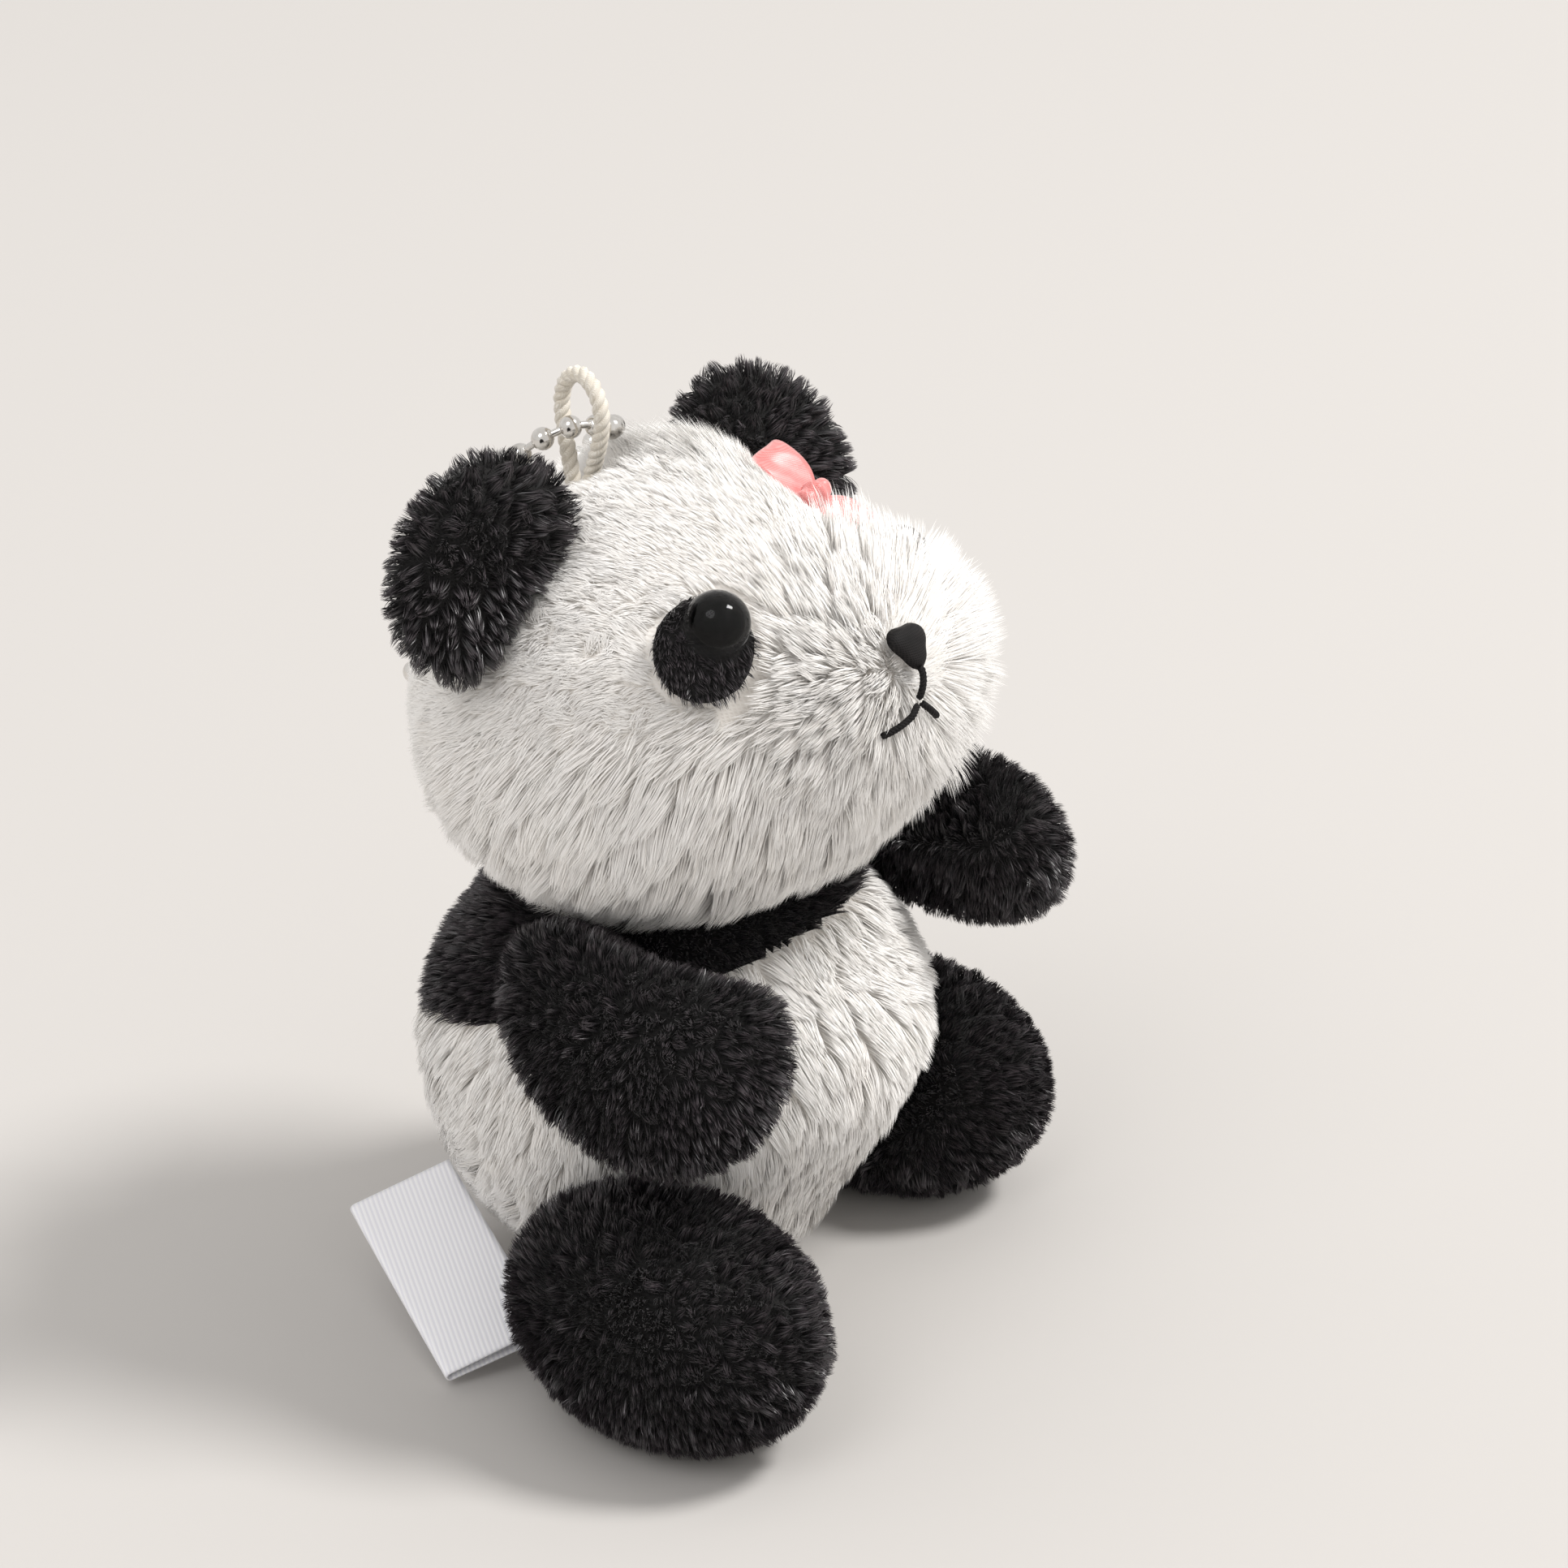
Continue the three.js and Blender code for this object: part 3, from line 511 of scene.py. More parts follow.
def read_rows(items, field, kind):
    """A field of three numbers, read from many items at once."""
    rows = np.empty(len(items) * 3, kind)
    items.foreach_get(field, rows)
    return rows.reshape(-1, 3)


def mesh_arrays(mesh):
    """A mesh's points, normals and triangles."""
    points, normals = (read_rows(mesh.vertices, field, np.float32).astype(float)
                       for field in ("co", "normal"))
    mesh.calc_loop_triangles()
    return points, normals, read_rows(mesh.loop_triangles, "vertices", np.int32)


def keep_faces(mesh, wanted):
    """Leaves only the faces that pass the test."""
    shape = bmesh.new()
    shape.from_mesh(mesh)
    drop = [f for f in shape.faces if not wanted(f)]
    bmesh.ops.delete(shape, geom=drop, context="FACES")
    shape.to_mesh(mesh)
    shape.free()
    return mesh


# ---------------- pile
def shown_share():
    """The share of the strands that this run grows."""
    return 1


def scatter(mesh, density, wanted):
    """Random points on a mesh, with their normals, at so many per square millimetre."""
    points, normals, triangles = mesh_arrays(mesh)
    a, b, c = (points[triangles[:, k]] for k in range(3))
    area = 0.5 * np.linalg.norm(np.cross(b - a, c - a), axis=1)
    count = int(area.sum() / MM ** 2 * density * shown_share())
    pick = random.choice(len(area), count, p=area / area.sum())
    u, v = random.random(count), random.random(count)
    over = u + v > 1
    u = np.where(over, 1 - u, u)
    v = np.where(over, 1 - v, v)
    share = np.stack([1 - u - v, u, v], 1)[:, :, None]
    place = (points[triangles[pick]] * share).sum(1)
    normal = unit((normals[triangles[pick]] * share).sum(1))
    chosen = wanted(place)
    return place[chosen], normal[chosen]


def nearest(centres, points):
    """The index of the centre nearest to each point."""
    tree = KDTree(len(centres))
    for i, centre in enumerate(centres):
        tree.insert(centre, i)
    tree.balance()
    return np.array([tree.find(p)[1] for p in points])


def strand_lines(roots, normals, comb, length, lean, steps):
    """Curved centre lines that leave along the normal and lean over towards the comb."""
    across = unit(comb - normals * (comb * normals).sum(1, keepdims=True))
    line = [roots]
    low, high = (math.radians(a) for a in lean)
    for before, after in zip(steps, steps[1:]):
        angle = low + (high - low) * (before + after) / 2
        way = normals * math.cos(angle) + across * math.sin(angle)
        line.append(line[-1] + way * (length * (after - before))[:, None])
    return line


def pile(name, mesh, body, slot, kind, material, comb, length=None, wanted=None):
    """Covers a mesh with tapered ribbons, gathered in clumps and combed one way."""
    always = lambda points: np.ones(len(points), bool)
    steps = kind.steps
    roots, normals = scatter(mesh, kind.density, wanted or always)
    centres, centre_normals = scatter(mesh, 1 / kind.spacing ** 2 / shown_share(), always)
    group = nearest(centres, roots)
    base = np.full(len(roots), kind.length * MM)
    if length is not None:
        base = base * length(roots)
    group_length = base * (0.85 + 0.3 * random.random(len(centres))[group])
    own_length = group_length * (0.75 + 0.4 * random.random(len(roots)))
    group_tilt = random.normal(0, kind.stray, (len(centres), 3))
    own_tilt = random.normal(0, kind.stray * 0.6, (len(roots), 3))
    way = comb(roots, normals) + group_tilt[group] + own_tilt
    line = strand_lines(roots, normals, way, own_length, kind.lean, steps)
    middle = comb(centres, centre_normals) + group_tilt
    middle = strand_lines(centres, centre_normals, middle, np.ones(len(centres)), kind.lean, steps)
    for i, t in enumerate(steps):
        target = centres[group] + (middle[i] - middle[0])[group] * group_length[:, None]
        pull = kind.gather * t ** 1.3
        line[i] = line[i] * (1 - pull) + target * pull
        line[i][:, 2] = np.maximum(line[i][:, 2], LOWEST_STRAND)
    # Each strand's place on the U ramp: its own random tone, and on black pile the rare high values give
    # painted glints.
    tone_and_glint = np.clip(0.55 + 0.2 * random.standard_normal(len(roots))
                    + 0.1 * random.standard_normal(len(centres))[group], 0.01, 0.99)
    for part, start in enumerate(range(0, len(roots), CHUNK)):
        rows = slice(start, start + CHUNK)
        data = ribbon_mesh(f"{name}_{part + 1}", [p[rows] for p in line], normals[rows], kind, tone_and_glint[rows])
        data.materials.append(material)
        add_piece(data, body, slot)


def ribbon_mesh(name, line, normals, kind, tone_and_glint):
    """One tapered ribbon along each line, its broad side outwards, shaded partly by the skin's normal."""
    count = len(normals)
    steps, even = kind.steps, kind.even
    width = kind.width * MM
    roll = random.uniform(-1.0, 1.0, count)[:, None] * (1 - 0.5 * even)
    taper = np.interp(steps, *TAPER)
    columns, facing = [], []
    for i in range(len(line)):
        ahead, behind = line[min(i + 1, len(line) - 1)], line[max(i - 1, 0)]
        way = unit(ahead - behind)
        outward = unit(normals - way * (normals * way).sum(1, keepdims=True) + 1e-6)
        beside = np.cross(way, outward)
        side = beside * np.cos(roll) - outward * np.sin(roll)
        half = side * (width * taper[i] / 2)
        if i == len(line) - 1:
            columns.append(line[i])
        else:
            columns += [line[i] - half, line[i] + half]
        own = unit(np.cross(side, way))
        facing += [unit(normals * even + own * (1 - even))] * (len(columns) - len(facing))
    per = len(columns)
    points = np.stack(columns, 1).reshape(-1, 3)
    quads = len(line) - 2
    corners = []
    for i in range(quads):
        corners += [2 * i, 2 * i + 1, 2 * i + 3, 2 * i + 2]
    corners += [2 * quads, 2 * quads + 1, 2 * quads + 2]
    loops = (np.arange(count)[:, None] * per + np.array(corners)).ravel()
    sizes = np.tile([4] * quads + [3], count)
    starts = np.concatenate([[0], np.cumsum(sizes)[:-1]])
    mesh = bpy.data.meshes.new(name)
    mesh.vertices.add(len(points))
    mesh.vertices.foreach_set("co", points.astype(np.float32).ravel())
    mesh.loops.add(len(loops))
    mesh.loops.foreach_set("vertex_index", loops.astype(np.int32))
    mesh.polygons.add(len(sizes))
    mesh.polygons.foreach_set("loop_start", starts.astype(np.int32))
    layer = mesh.uv_layers.new(name="OFBake")
    along = np.repeat(steps, [2] * (len(steps) - 1) + [1])
    u = np.repeat(tone_and_glint, len(corners))
    v = np.tile(np.clip(along[corners], 0.01, 0.99), count)
    layer.data.foreach_set("uv", np.stack([u, v], 1).astype(np.float32).ravel())
    mesh.update(calc_edges=True)
    if even:
        towards = mesh.attributes.new("custom_normal", "FLOAT_VECTOR", "POINT")
        towards.data.foreach_set("vector", np.stack(facing, 1).astype(np.float32).ravel())
    return mesh


def swirl(points, scale, seed):
    """A smooth, slowly turning direction field."""
    p = points / (scale * MM)
    a = np.sin(p[:, 0] + 1.7 * np.sin(p[:, 1] * 0.8 + seed)) + np.cos(p[:, 2] * 1.1 + seed)
    b = np.sin(p[:, 1] * 1.2 - seed) + np.cos(p[:, 0] * 0.9 + p[:, 2] + seed)
    c = np.sin(p[:, 2] * 0.9 + 2 * seed) + np.cos(p[:, 1] + p[:, 0] * 0.7)
    return 0.5 * np.stack([a, b, c], 1)


# ---------------- head
HEAD = head_matrix()
HEAD_TREE = node_tree_of("head_skin")


def on_head(azimuth, elevation, lift=0.0):
    """A point on the head's skin, or so many millimetres over it: azimuth 0 is mid-face."""
    way = HEAD.to_3x3() @ direction(azimuth, elevation)
    hit = HEAD_TREE.ray_cast(HEAD.translation + way * RAY_START, -way)[0]
    return hit + way * lift * MM


def eye_point(sign, lift=0.0):
    """The skin at the middle of an eye, taken from around it because the eye's stem goes through."""
    step = 4
    around = [(sign * EYE_AZIMUTH + a, EYE_ELEVATION + e) for a, e in
              ((step, 0), (-step, 0), (0, step), (0, -step))]
    points = [on_head(azimuth, elevation, lift) for azimuth, elevation in around]
    return sum(points, Vector()) / len(points)


def head_local(points):
    """Points in the head's own frame, from its centre."""
    turn = np.array(HEAD.to_3x3())
    return (points - np.array(HEAD.translation)) @ turn


PARTING_POINT = np.array(on_head(*PARTING))
EYE_POINTS = [np.array(eye_point(sign)) for sign in (-1, 1)]
PATCH_TREES = [node_tree_of(f"eye_patch_{side}") for side in ("right", "left")]


def face_comb(points, normals):
    """Away from the nose, then down over the cheeks and back over the crown."""
    away = unit(points - PARTING_POINT)
    near = np.exp(-(how_far(points, PARTING_POINT) / (22 * MM)) ** 2)[:, None]
    local = head_local(points)
    low = np.clip((8 * MM - local[:, 2]) / (20 * MM), 0, 1)[:, None]
    down = np.array([[0, 0.15, -1.0]])
    back = np.array([[0, 0.8, 0.35]])
    flow = away * (0.5 + 1.2 * near) + down * low * 1.1 + back * (1 - low) * 0.5
    return flow + 0.55 * swirl(points, 7, 1.3)


def muzzle_comb(points, normals):
    """Straight away from the nose."""
    return unit(points - PARTING_POINT) + 0.25 * swirl(points, 6, 1.3)


def silkiness(points):
    """0 on the velvety brow and crown, 1 on the silky cheeks, jaw and muzzle."""
    local = head_local(points) / MM
    return np.clip((2 - local[:, 2]) / 9, 0, 1)


def silk_length(points):
    """Shorter near the nose and towards the brow."""
    far = how_far(points, PARTING_POINT) / MM
    return np.clip(0.3 + far / 16, 0.3, 1.0) * (0.6 + 0.4 * silkiness(points))


def velvet_length(points):
    """Longer in a tuft on the crown, and a little longer behind."""
    local = head_local(points) / MM
    crown = 2.0 * np.exp(-((local[:, 0] - 7) / 8) ** 2) * np.clip((local[:, 2] - 15) / 6, 0, 1)
    behind = 0.5 * np.clip((local[:, 1] + 2) / 14, 0, 1)
    return 0.85 + crown + behind


def muzzle_length(points):
    """Short round the nose, with a fuller tuft on the figure's left."""
    far = how_far(points, PARTING_POINT) / MM
    tuft = 0.5 * np.clip(head_local(points)[:, 0] / (8 * MM), 0, 1)
    return np.clip(0.35 + far / 10, 0.35, 1.0) + tuft


def bare(points):
    """Where the eye, the patch or the nose leaves no white pile."""
    covered = np.zeros(len(points), bool)
    for eye in EYE_POINTS:
        covered |= how_far(points, eye) < EYE_CLEARING
    covered |= how_far(points, PARTING_POINT) < NOSE_CLEARING
    near = np.min([how_far(points, eye) for eye in EYE_POINTS], axis=0) < PATCH_SEARCH
    ahead = how_far(points, PARTING_POINT) < np.linalg.norm(EYE_POINTS[0] - PARTING_POINT)
    for i in np.nonzero(near & ~covered)[0]:
        clear = PATCH_CLEARING_AHEAD if ahead[i] else PATCH_CLEARING
        covered[i] = any(tree.find_nearest(points[i], clear)[0] is not None for tree in PATCH_TREES)
    return covered


def muzzle_chance(points):
    """1 over the muzzle, falling to 0 where the cheeks begin."""
    far = how_far(points, PARTING_POINT) / MM
    return np.clip((17 - far) / 5, 0, 1)


def velvet_chance(points):
    """The rest of what is silky, and a little of it under the silk."""
    return 1 - 0.8 * silkiness(points)


def grown(points, chance):
    """Which points grow a strand, by chance, but never where it is bare."""
    return ~bare(points) & (random.random(len(points)) < chance(points))


def make_head():
    """The head's stuffed skin, with three kinds of pile that run into each other."""
    nodes = ["head_skin", "head_stuffing"]
    mesh = outer_skin("head_plush", nodes, HEAD_CENTRE, HEAD_INSET, level=6, smoothing=10)
    add_skin(mesh, WHITE_BACKING, "head", "white_plush", nodes)
    for name, kind, comb, length, chance in (
            ("head_muzzle", MUZZLE_WHITE, muzzle_comb, muzzle_length, muzzle_chance),
            ("head_silk", LONG_WHITE, face_comb, silk_length, silkiness),
            ("head_velvet", VELVET_WHITE, face_comb, velvet_length, velvet_chance)):
        pile(name, mesh, "head", "white_plush", kind, WHITE_PILE, comb, length,
             lambda points, chance=chance: grown(points, chance))


# ---------------- torso, limbs and ears
def above_seam(face):
    """Whether a face of the torso is above the sloping seam between belly and yoke."""
    middle = face.calc_center_median()
    return middle[2] > SEAM_HEIGHT + SEAM_SLOPE * middle[1]


def make_torso_part(part, upper, nodes, slot, backing, strands, kind):
    """The belly or the yoke: one side of the seam of the same stuffed form."""
    whole = ["torso_belly", "torso_yoke", "torso_stuffing"]
    mesh = outer_skin(f"{part}_plush", whole, PIVOT, TORSO_INSET, level=6, smoothing=6)
    keep_faces(mesh, lambda face: above_seam(face) == upper)
    add_skin(mesh, backing, "torso", slot, nodes)
    comb = lambda points, normals: np.array([[0, 0, -1.0]]) + 0.7 * swirl(points, 7, 0.4)
    wanted = lambda points: points[:, 2] > LOWEST_ROOT["torso"]
    pile(f"{part}_pile", mesh, "torso", slot, kind, strands, comb, wanted=wanted)


def make_torso():
    """The white belly and the black yoke."""
    make_torso_part("belly", False, ["torso_belly", "torso_stuffing"], "white_plush", WHITE_BACKING,
                    WHITE_PILE, BELLY_WHITE)
    make_torso_part("yoke", True, ["torso_yoke"], "black_plush", BLACK_BACKING, BLACK_PILE, YOKE_BLACK)


def make_limb(name):
    """An arm or a leg, whose body has its name."""
    nodes = [f"{name}_skin", f"{name}_stuffing"]
    centre = Vector(box_centre(nodes[0]))
    mesh = outer_skin(f"{name}_plush", nodes, centre, LIMB_INSET, level=5, smoothing=5)
    add_skin(mesh, BLACK_BACKING, name, "black_plush", nodes)
    tip = Vector((0, -1, -0.5)) if name.startswith("arm") else Vector((0, -1, 0.1))
    comb = lambda points, normals: np.array([tip]) * 0.8 + 0.7 * swirl(points, 5, 2.1)
    wanted = lambda points: points[:, 2] > LOWEST_ROOT["limb"]
    pile(f"{name}_pile", mesh, name, "black_plush", LIMB_BLACK, BLACK_PILE, comb, wanted=wanted)


def make_ear(name):
    """A flat round ear, its pile standing out all round."""
    middle = box_centre(name)
    mesh = outer_skin(f"{name}_plush", [name], Vector(middle), EAR_INSET[name] * MM, level=5, smoothing=3)
    add_skin(mesh, BLACK_BACKING, "head", "black_plush", [name])
    comb = lambda points, normals: unit(points - middle) + 0.5 * swirl(points, 5, 0.9)
    pile(f"{name}_pile", mesh, "head", "black_plush", EAR_BLACK, BLACK_PILE, comb)


# ---------------- swept tubes
def grid_faces(rows, columns, start=0, closed=False):
    """Four-sided faces between rows of vertices; a closed grid joins its last column to its first."""
    faces = []
    for i in range(rows - 1):
        for k in range(columns if closed else columns - 1):
            a, b = i * columns + k, i * columns + (k + 1) % columns
            faces.append([start + j for j in (a, b, b + columns, a + columns)])
    return faces


def carried_frames(line):
    """Two directions across a line at each of its points, turning no more than the line does."""
    ways = unit(np.gradient(line, axis=0))
    side = unit(np.cross(ways[0], [0.3, 0.2, 1.0]))
    sides = []
    for way in ways:
        side = unit(side - way * side.dot(way))
        sides.append(side)
    sides = np.array(sides)
    return sides, np.cross(ways, sides)


def tube_parts(line, radius, sides=8, start=0):
    """Vertices and faces of a closed tube along a line; radius is a number or one per point."""
    across, beside = carried_frames(line)
    radius = np.broadcast_to(np.asarray(radius, float), len(line))
    angle = np.linspace(0, 2 * math.pi, sides, endpoint=False)
    rings = (line[:, None] + radius[:, None, None]
             * (across[:, None] * np.cos(angle)[:, None] + beside[:, None] * np.sin(angle)[:, None]))
    points = rings.reshape(-1, 3)
    faces = grid_faces(len(line), sides, start, closed=True)
    faces.append([start + k for k in reversed(range(sides))])
    faces.append([start + (len(line) - 1) * sides + k for k in range(sides)])
    return points, faces


def mesh_from(name, parts, material):
    """One mesh of several parts, each a function from its first vertex's number to points and faces."""
    points, faces = [], []
    for make in parts:
        part_points, part_faces = make(len(points))
        points += [tuple(p) for p in part_points]
        faces += part_faces
    return mesh_from_points(name, points, faces, material)


def twisted_cord(name, line, diameter, pitch, material, strands=3):
    """Yarns laid round each other along a line."""
    across, beside = carried_frames(line)
    run = run_along(line)
    parts = []
    for k in range(strands):
        turn = 2 * math.pi * (run / pitch + k / strands)
        yarn = line + diameter * 0.23 * (across * np.cos(turn)[:, None] + beside * np.sin(turn)[:, None])
        parts.append(lambda start, yarn=yarn: tube_parts(yarn, diameter * 0.27, 8, start))
    return mesh_from(name, parts, material)


# ---------------- loop, chain and connector
def make_hanging_loop():
    """The short cord loop whose two ends go into the crown's seam."""
    line = smooth_path(LOOP_ROUTE, PATH_STEP)
    mesh = twisted_cord("hanging_cord", line, LOOP_DIAMETER, LOOP_LAY, CORD)
    loop = add_piece(mesh, "head", "cord", "hanging_loop")


def ball(start, centre, radius):
    """Vertices and faces of one ball of the chain."""
    shape = bmesh.new()
    bmesh.ops.create_uvsphere(shape, u_segments=20, v_segments=12, radius=radius)
    points = [np.array(v.co) + centre for v in shape.verts]
    faces = [[start + v.index for v in f.verts] for f in shape.faces]
    shape.free()
    return points, faces


def make_ball_chain():
    """Balls and the links between them, from one side of the connector round to the other."""
    line = smooth_path(CHAIN_ROUTE, PATH_STEP)
    run = run_along(line)
    count = int(round(run[-1] / BALL_PITCH))
    places = np.linspace(0, run[-1], count + 1)
    centres = np.stack([np.interp(places, run, line[:, k]) for k in range(3)], 1)
    radius = BALL_DIAMETER / 2
    parts = [lambda start, c=c: ball(start, c, radius) for c in centres]
    parts.append(lambda start: tube_parts(line, radius * LINK_SHARE, 8, start))
    chain = add_piece(mesh_from("bead_chain", parts, NICKEL), "head", "nickel", "ball_chain")
    first, last = Vector(centres[0]), Vector(centres[-1])
    sleeve = make_connector(first, last)


def make_connector(first, last):
    """The slotted barrel that grips the chain's two end balls."""
    way = (last - first).normalized()
    length = (last - first).length - CLASP_SHORTER
    middle = (first + last) / 2
    line = np.array([middle + way * (length * along) for along, _ in CLASP_OUTLINE])
    radius = np.array([size for _, size in CLASP_OUTLINE]) * MM
    mesh = mesh_from("chain_clasp", [lambda start: tube_parts(line, radius, 24, start)], NICKEL)
    return add_piece(mesh, "head", "nickel", "chain_connector")


# ---------------- face
def skin_frame(azimuth, elevation):
    """A frame on the head's skin: Z straight out, Y up the face."""
    step = 3
    point = on_head(azimuth, elevation)
    across = on_head(azimuth + step, elevation) - on_head(azimuth - step, elevation)
    upward = on_head(azimuth, elevation + step) - on_head(azimuth, elevation - step)
    out = across.cross(upward).normalized()
    up = HEAD.to_3x3() @ Vector((0, 0, 1))
    side = up.cross(out).normalized()
    return frame_at(point, side, out.cross(side), out)


def dome(name, centre, out, radius, back, materials, slot, node):
    """A ball cut flat so many radii behind its middle; the cut takes the last material."""
    shape = bmesh.new()
    bmesh.ops.create_uvsphere(shape, u_segments=64, v_segments=40, radius=radius)
    bmesh.ops.bisect_plane(shape, geom=shape.verts[:] + shape.edges[:] + shape.faces[:],
                           plane_co=(0, 0, -radius * back), plane_no=(0, 0, 1), clear_inner=True)
    rim = [e for e in shape.edges if e.is_boundary]
    cut = bmesh.ops.contextual_create(shape, geom=rim)["faces"]
    for face in cut:
        face.material_index = len(materials) - 1
    turn = out.to_track_quat("Z", "Y").to_matrix().to_4x4()
    bmesh.ops.transform(shape, matrix=Matrix.Translation(centre) @ turn, verts=shape.verts)
    add_piece(mesh_of(name, shape, *materials), "head", slot, node)


def make_eyes():
    """Clear domes with a black dome inside."""
    for side, sign in (("right", -1), ("left", 1)):
        out = skin_frame(sign * EYE_AZIMUTH, EYE_ELEVATION).col[2].to_3d()
        centre = eye_point(sign) + out * EYE_LIFT[side] * MM
        # The clear dome's cut back takes the grey of the painted rim reflection.
        dome(f"eye_dome_{side}", centre, out, EYE_RADIUS, DOME_BACK, [CLEAR, RIM_REFLECTION_GREY],
             "clear_plastic", f"eye_lens_{side}")
        dome(f"eye_black_{side}", centre, out, EYE_RADIUS * PUPIL_SHARE, PUPIL_BACK, [PUPIL],
             "pupil", f"eye_pupil_{side}")


def rounded_felt(name, node):
    """The CAD patch as a finer mesh with soft edges."""
    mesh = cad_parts[node].data.copy()
    shape = bmesh.new()
    shape.from_mesh(mesh)
    bmesh.ops.remove_doubles(shape, verts=shape.verts, dist=0.01 * MM)
    bmesh.ops.subdivide_edges(shape, edges=shape.edges, cuts=2, use_grid_fill=True)
    for _ in range(3):
        bmesh.ops.smooth_vert(shape, verts=shape.verts, factor=0.5, use_axis_x=True,
                              use_axis_y=True, use_axis_z=True)
    shape.normal_update()
    shape.to_mesh(mesh)
    shape.free()
    mesh.name = name
    mesh.shade_smooth()
    mesh.materials.clear()
    mesh.materials.append(BLACK_BACKING)
    return mesh


def make_patches():
    """Black felt round each eye, with short pile on its outward side."""
    comb = lambda points, normals: (np.array([HEAD.to_3x3() @ Vector((0, -0.3, -1))])
                                    + 0.3 * swirl(points, 4, 0.2))
    for side, sign in (("right", -1), ("left", 1)):
        node = f"eye_patch_{side}"
        mesh = rounded_felt(f"patch_felt_{side}", node)
        add_piece(mesh, "head", "black_plush", node)
        outward = Vector(unit(box_centre(node) - np.array(HEAD.translation)))
        facing = keep_faces(mesh.copy(), lambda face: face.normal.dot(outward) >= 0.15)
        eye = np.array(eye_point(sign, PATCH_GAP_LIFT))
        clear = lambda points: how_far(points, eye) > PATCH_GAP
        pile(f"patch_pile_{side}", facing, "head", "black_plush", PATCH_BLACK, BLACK_PILE, comb,
             wanted=clear)


def make_nose():
    """A small rounded triangle of black satin, puffed a little."""
    place = skin_frame(NOSE_AZIMUTH, NOSE_ELEVATION)
    shape = bmesh.new()
    rings, sides = 7, 36
    verts = []
    for i in range(rings + 1):
        share = i / rings
        for k in range(sides):
            a = 2 * math.pi * k / sides
            corner = 1 + NOSE_CORNERS * math.cos(3 * (a - math.pi / 6))
            x = NOSE_WIDTH * corner * math.cos(a) * share
            y = NOSE_HEIGHT * corner * math.sin(a) * share
            z = NOSE_PUFF * math.sqrt(max(0, 1 - share ** 2.4)) + NOSE_LIFT
            verts.append(shape.verts.new(place @ Vector((x, y, z))))
    for face in grid_faces(rings + 1, sides, closed=True):
        shape.faces.new([verts[j] for j in face])
    shape.faces.new([verts[rings * sides + k] for k in reversed(range(sides))])
    bmesh.ops.remove_doubles(shape, verts=shape.verts, dist=0.005 * MM)
    bmesh.ops.recalc_face_normals(shape, faces=shape.faces)
    add_piece(mesh_of("nose_pad", shape, NOSE_CLOTH), "head", "black_plush", "nose")


def make_mouth():
    """Embroidery thread: each CAD stitch again as a twisted strand a little above the skin."""
    for name, start, end, sag in MOUTH_STITCHES:
        line = []
        for t in np.linspace(0, 1, 40):
            azimuth = start[0] + (end[0] - start[0]) * t
            elevation = start[1] + (end[1] - start[1]) * t - sag * 4 * t * (1 - t)
            lift = MOUTH_LIFT - MOUTH_DIP * abs(2 * t - 1) ** 2
            line.append(on_head(azimuth, elevation, lift))
        mesh = twisted_cord(f"thread_{name}", np.array(line), MOUTH_THREAD, MOUTH_LAY, THREAD)
        add_piece(mesh, "head", "thread", name)


# ---------------- bow and label
def ribbon_strip(name, profile, width, place, material, waist=0.0):
    """A ribbon whose edge-on shape is a closed line of (along, up) points."""
    cuts = 10
    points = []
    for j in range(cuts + 1):
        across = j / cuts - 0.5
        for along, up in profile:
            pinch = 1 - waist * math.exp(-(along / (1.6 * MM)) ** 2)
            crease = 0.12 * MM * math.sin(9 * across + along / (0.9 * MM))
            points.append(place @ Vector((across * width * pinch, along, up + crease)))
    return mesh_from_points(name, points, grid_faces(cuts + 1, len(profile)), material)


def bow_frame():
    """The bow's frame at its knot: Y along the two loops, Z away from the head."""
    upper, lower = (box_centre(f"bow_loop_{which}") for which in ("upper", "lower"))
    knot = Vector(box_centre("bow_knot")) + Vector(BOW_TUCK) * MM
    along = Vector(upper - lower).normalized()
    out = (knot - HEAD.translation).normalized()
    out = (out - along * out.dot(along)).normalized()
    out = Matrix.Rotation(BOW_LEAN, 3, along) @ out
    return frame_at(knot, along.cross(out), along, out)


def make_bow_loop(which, way, place):
    """One flat ribbon loop that leaves the knot and comes back to it."""
    profile = []
    for t in np.linspace(0, 1, 40):
        angle = math.pi * (1 - 2 * t)
        reach = (1 + math.cos(angle)) / 2
        size = BOW_LOOP * reach ** 0.75
        height = BOW_RISE * math.sin(angle) * (0.35 + 0.65 * reach)
        profile.append((way * (BOW_START + size), height))
    mesh = ribbon_strip(f"ribbon_{which}", profile, BOW_WIDTH, place, RIBBON, waist=BOW_WAIST)
    thicken(mesh, BOW_CLOTH)
    add_piece(mesh, "head", "ribbon", f"bow_loop_{which}")


def make_bow_knot(place):
    """The gathered middle of the bow, with soft folds."""
    shape = bmesh.new()
    bmesh.ops.create_icosphere(shape, subdivisions=4, radius=1)
    width, length, height = KNOT_SIZE
    for vertex in shape.verts:
        x, y, z = vertex.co
        fold = 1 + 0.1 * math.sin(9 * x + 2 * z)
        vertex.co = place @ Vector((x * width, y * length * fold, z * height * fold))
    add_piece(mesh_of("ribbon_knot", shape, RIBBON), "head", "ribbon", "bow_knot")


def make_bow():
    """Two loops and their knot."""
    place = bow_frame()
    make_bow_loop("upper", 1, place)
    make_bow_loop("lower", -1, place)
    make_bow_knot(place)


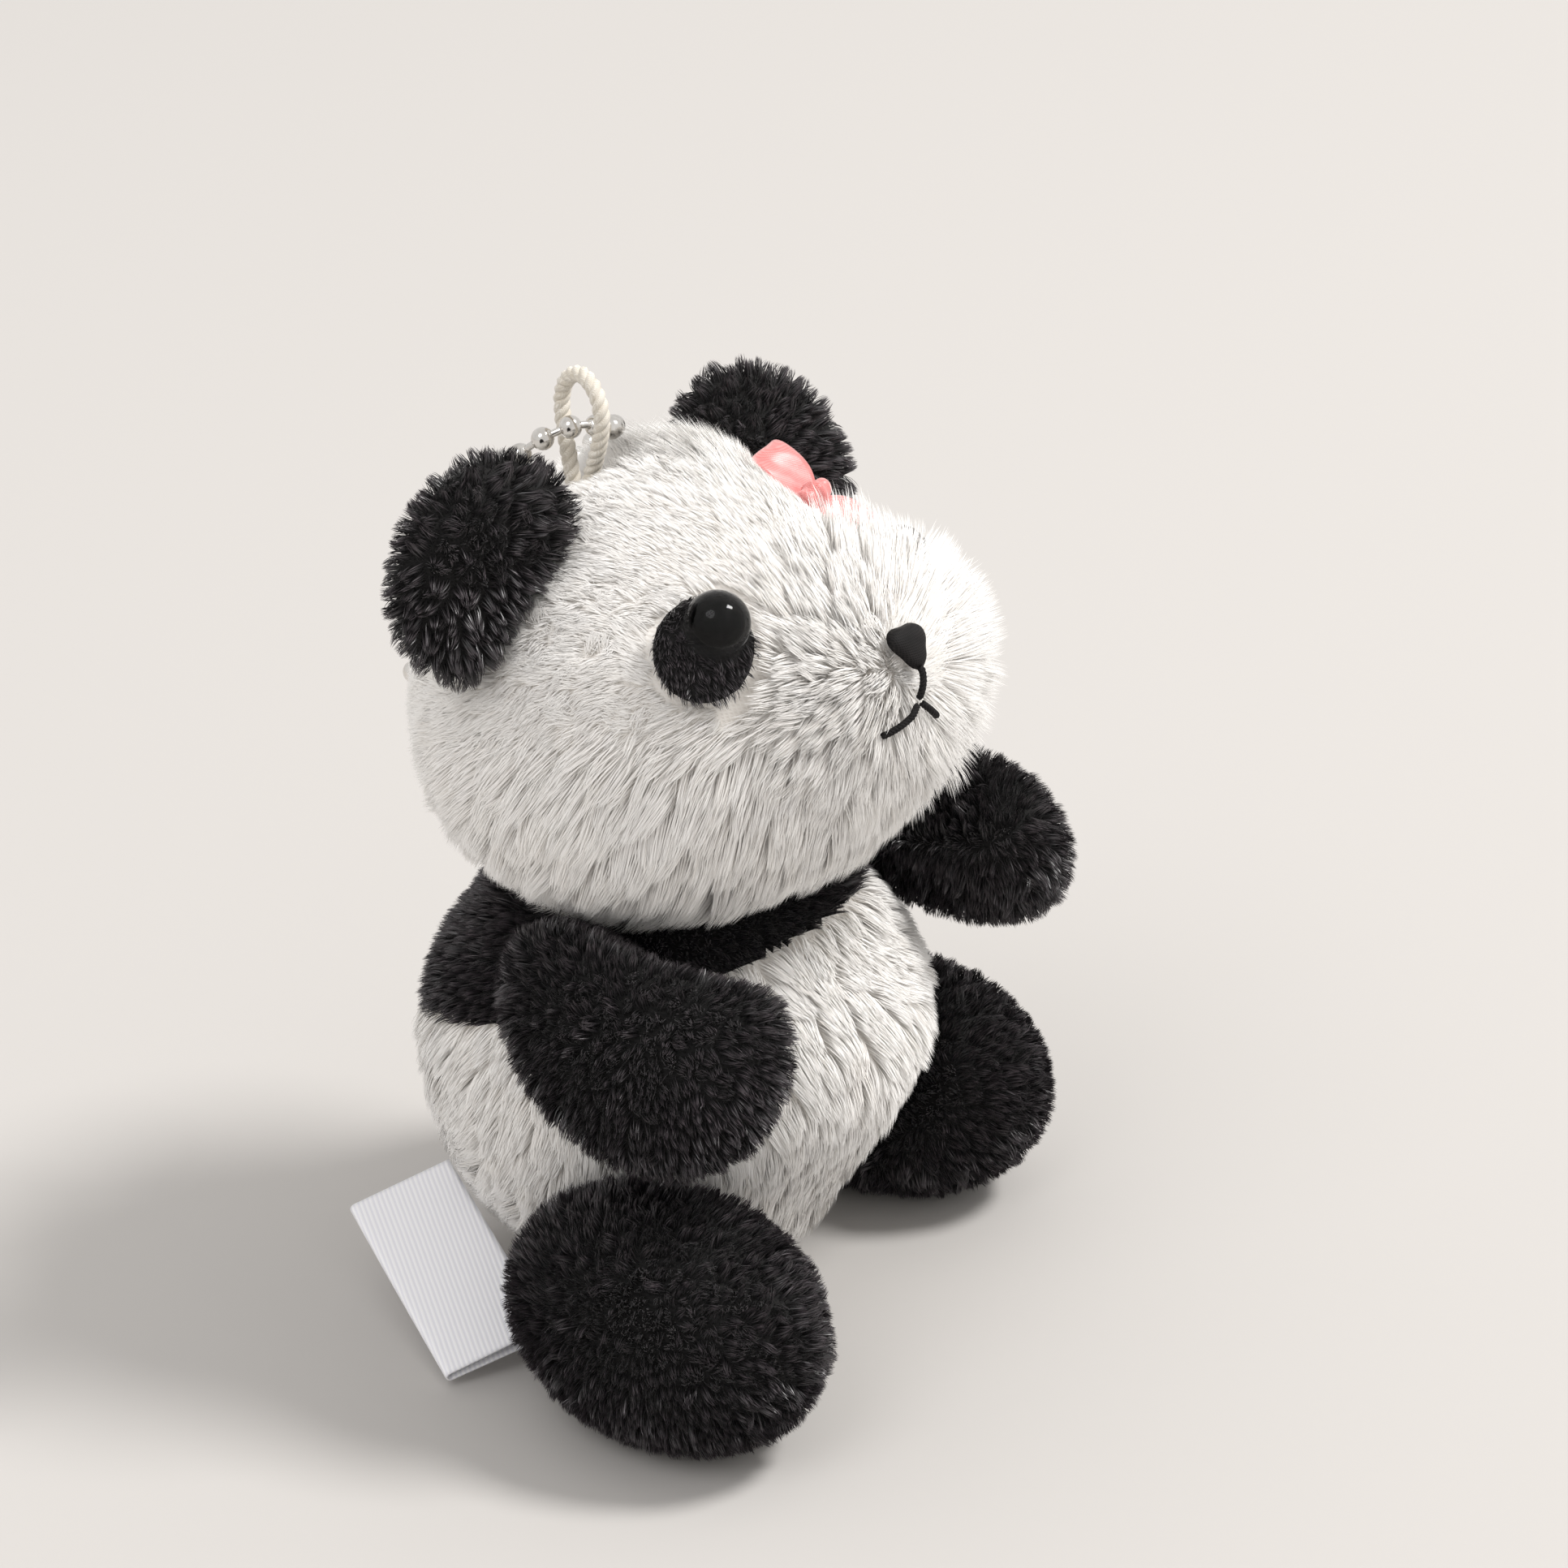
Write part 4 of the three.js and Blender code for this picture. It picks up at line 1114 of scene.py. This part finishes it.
def thicken(mesh, thickness):
    """Gives an open sheet a real thickness."""
    shape = bmesh.new()
    shape.from_mesh(mesh)
    bmesh.ops.solidify(shape, geom=shape.faces, thickness=thickness)
    bmesh.ops.recalc_face_normals(shape, faces=shape.faces)
    shape.to_mesh(mesh)
    shape.free()
    mesh.shade_smooth()


def label_frame():
    """The CAD label's frame: X out of the seam, Y through its thickness, Z along the fold."""
    along = Vector((-12, -20, -7)).normalized()
    outward = Vector((-0.82, 0.5, -0.3))
    outward = (outward - along * outward.dot(along)).normalized()
    return frame_at(Vector(LABEL_ORIGIN) * MM, outward, along.cross(outward), along)


def label_line(half, straight):
    """The folded tape edge-on, as (out, through) points: out, round the fold and back."""
    line = [(straight * t, -half) for t in np.linspace(0, 1, 22)]
    bend = np.linspace(0, math.pi, 14)[1:-1]
    line += [(straight + half * math.sin(a), -half * math.cos(a)) for a in bend]
    line += [(straight * (1 - t), half) for t in np.linspace(0, 1, 22)]
    return line


def make_label():
    """A satin tape folded once, with the two layers easing apart at one end."""
    place = label_frame()
    half = LABEL_FOLD / 2 + LABEL_LAYER / 2
    straight = LABEL_REACH - half
    line = label_line(half, straight)
    cuts = 44
    points = []
    for j in range(cuts + 1):
        share = j / cuts
        for out, through in line:
            open_up = 1 + 0.5 * share * (1 - out / LABEL_REACH)
            wave = 0.35 * MM * math.sin(3.2 * share + 0.4) * out / LABEL_REACH
            points.append(place @ Vector((out, through * open_up + wave, LABEL_WIDTH * share)))
    mesh = mesh_from_points("label_tape", points, grid_faces(cuts + 1, len(line)), SATIN_TAPE)
    thicken(mesh, LABEL_LAYER * LABEL_CLOTH)
    tape = add_piece(mesh, "torso", "label", "label")


# ---------------- camera, lights and floor
def make_camera():
    """The view of the figure's right side from a little above."""
    back = direction(VIEW_AZIMUTH, VIEW_ELEVATION)
    data = bpy.data.cameras.new("camera")
    data.lens = LENS
    data.sensor_width = SENSOR
    data.shift_x, data.shift_y = VIEW_SHIFT
    data.clip_start = 0.01
    camera = new_object("camera", data)
    camera.location = VIEW_TARGET + back * VIEW_DISTANCE
    camera.rotation_euler = back.to_track_quat("Z", "Y").to_euler()
    scene.camera = camera


def add_area_light(name, azimuth, elevation, distance, size, power, colour):
    """A round soft light aimed at the figure."""
    way = direction(azimuth, elevation)
    data = bpy.data.lights.new(name, "AREA")
    data.shape = "DISK"
    data.size = size
    data.energy = power
    data.color = colour
    light = new_object(name, data)
    light.location = LIGHT_TARGET + way * distance
    light.rotation_euler = way.to_track_quat("Z", "Y").to_euler()


def make_floor():
    """A plain pale floor just under the figure."""
    mesh = bpy.data.meshes.new("floor")
    corners = [(-FLOOR_HALF, -FLOOR_HALF, 0), (FLOOR_HALF, -FLOOR_HALF, 0),
               (FLOOR_HALF, FLOOR_HALF, 0), (-FLOOR_HALF, FLOOR_HALF, 0)]
    mesh.from_pydata(corners, [], [(0, 1, 2, 3)])
    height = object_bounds()[0][2] - FLOOR_DROP
    floor = new_object("floor", mesh)
    floor.location.z = height
    material, _, _, shader = new_material("floor")
    set_inputs(shader, Base_Color=FLOOR_COLOUR, Roughness=0.75)
    mesh.materials.append(material)


def make_stage():
    """The floor, the even light all round and the two lights."""
    make_floor()
    world = bpy.data.worlds.new("world")
    world.use_nodes = True
    set_inputs(world.node_tree.nodes["Background"], Color=WORLD_COLOUR, Strength=WORLD_STRENGTH)
    scene.world = world
    for light in LIGHTS:
        add_area_light(*light)
    scene.view_settings.view_transform = "Standard"


make_camera()
make_stage()
make_hanging_loop()
make_ball_chain()
make_head()
make_torso()
for limb in ("arm_right", "arm_left", "leg_right", "leg_left"):
    make_limb(limb)
for ear in ("ear_right", "ear_left"):
    make_ear(ear)
make_eyes()
make_patches()
make_nose()
make_mouth()
make_bow()
make_label()
for node, material in (("neck_thread_ring", THREAD), ("hanging_loop_knot", CORD),
                       ("eye_washer_right", WASHER), ("eye_washer_left", WASHER)):
    dress_cad_node(node, material)
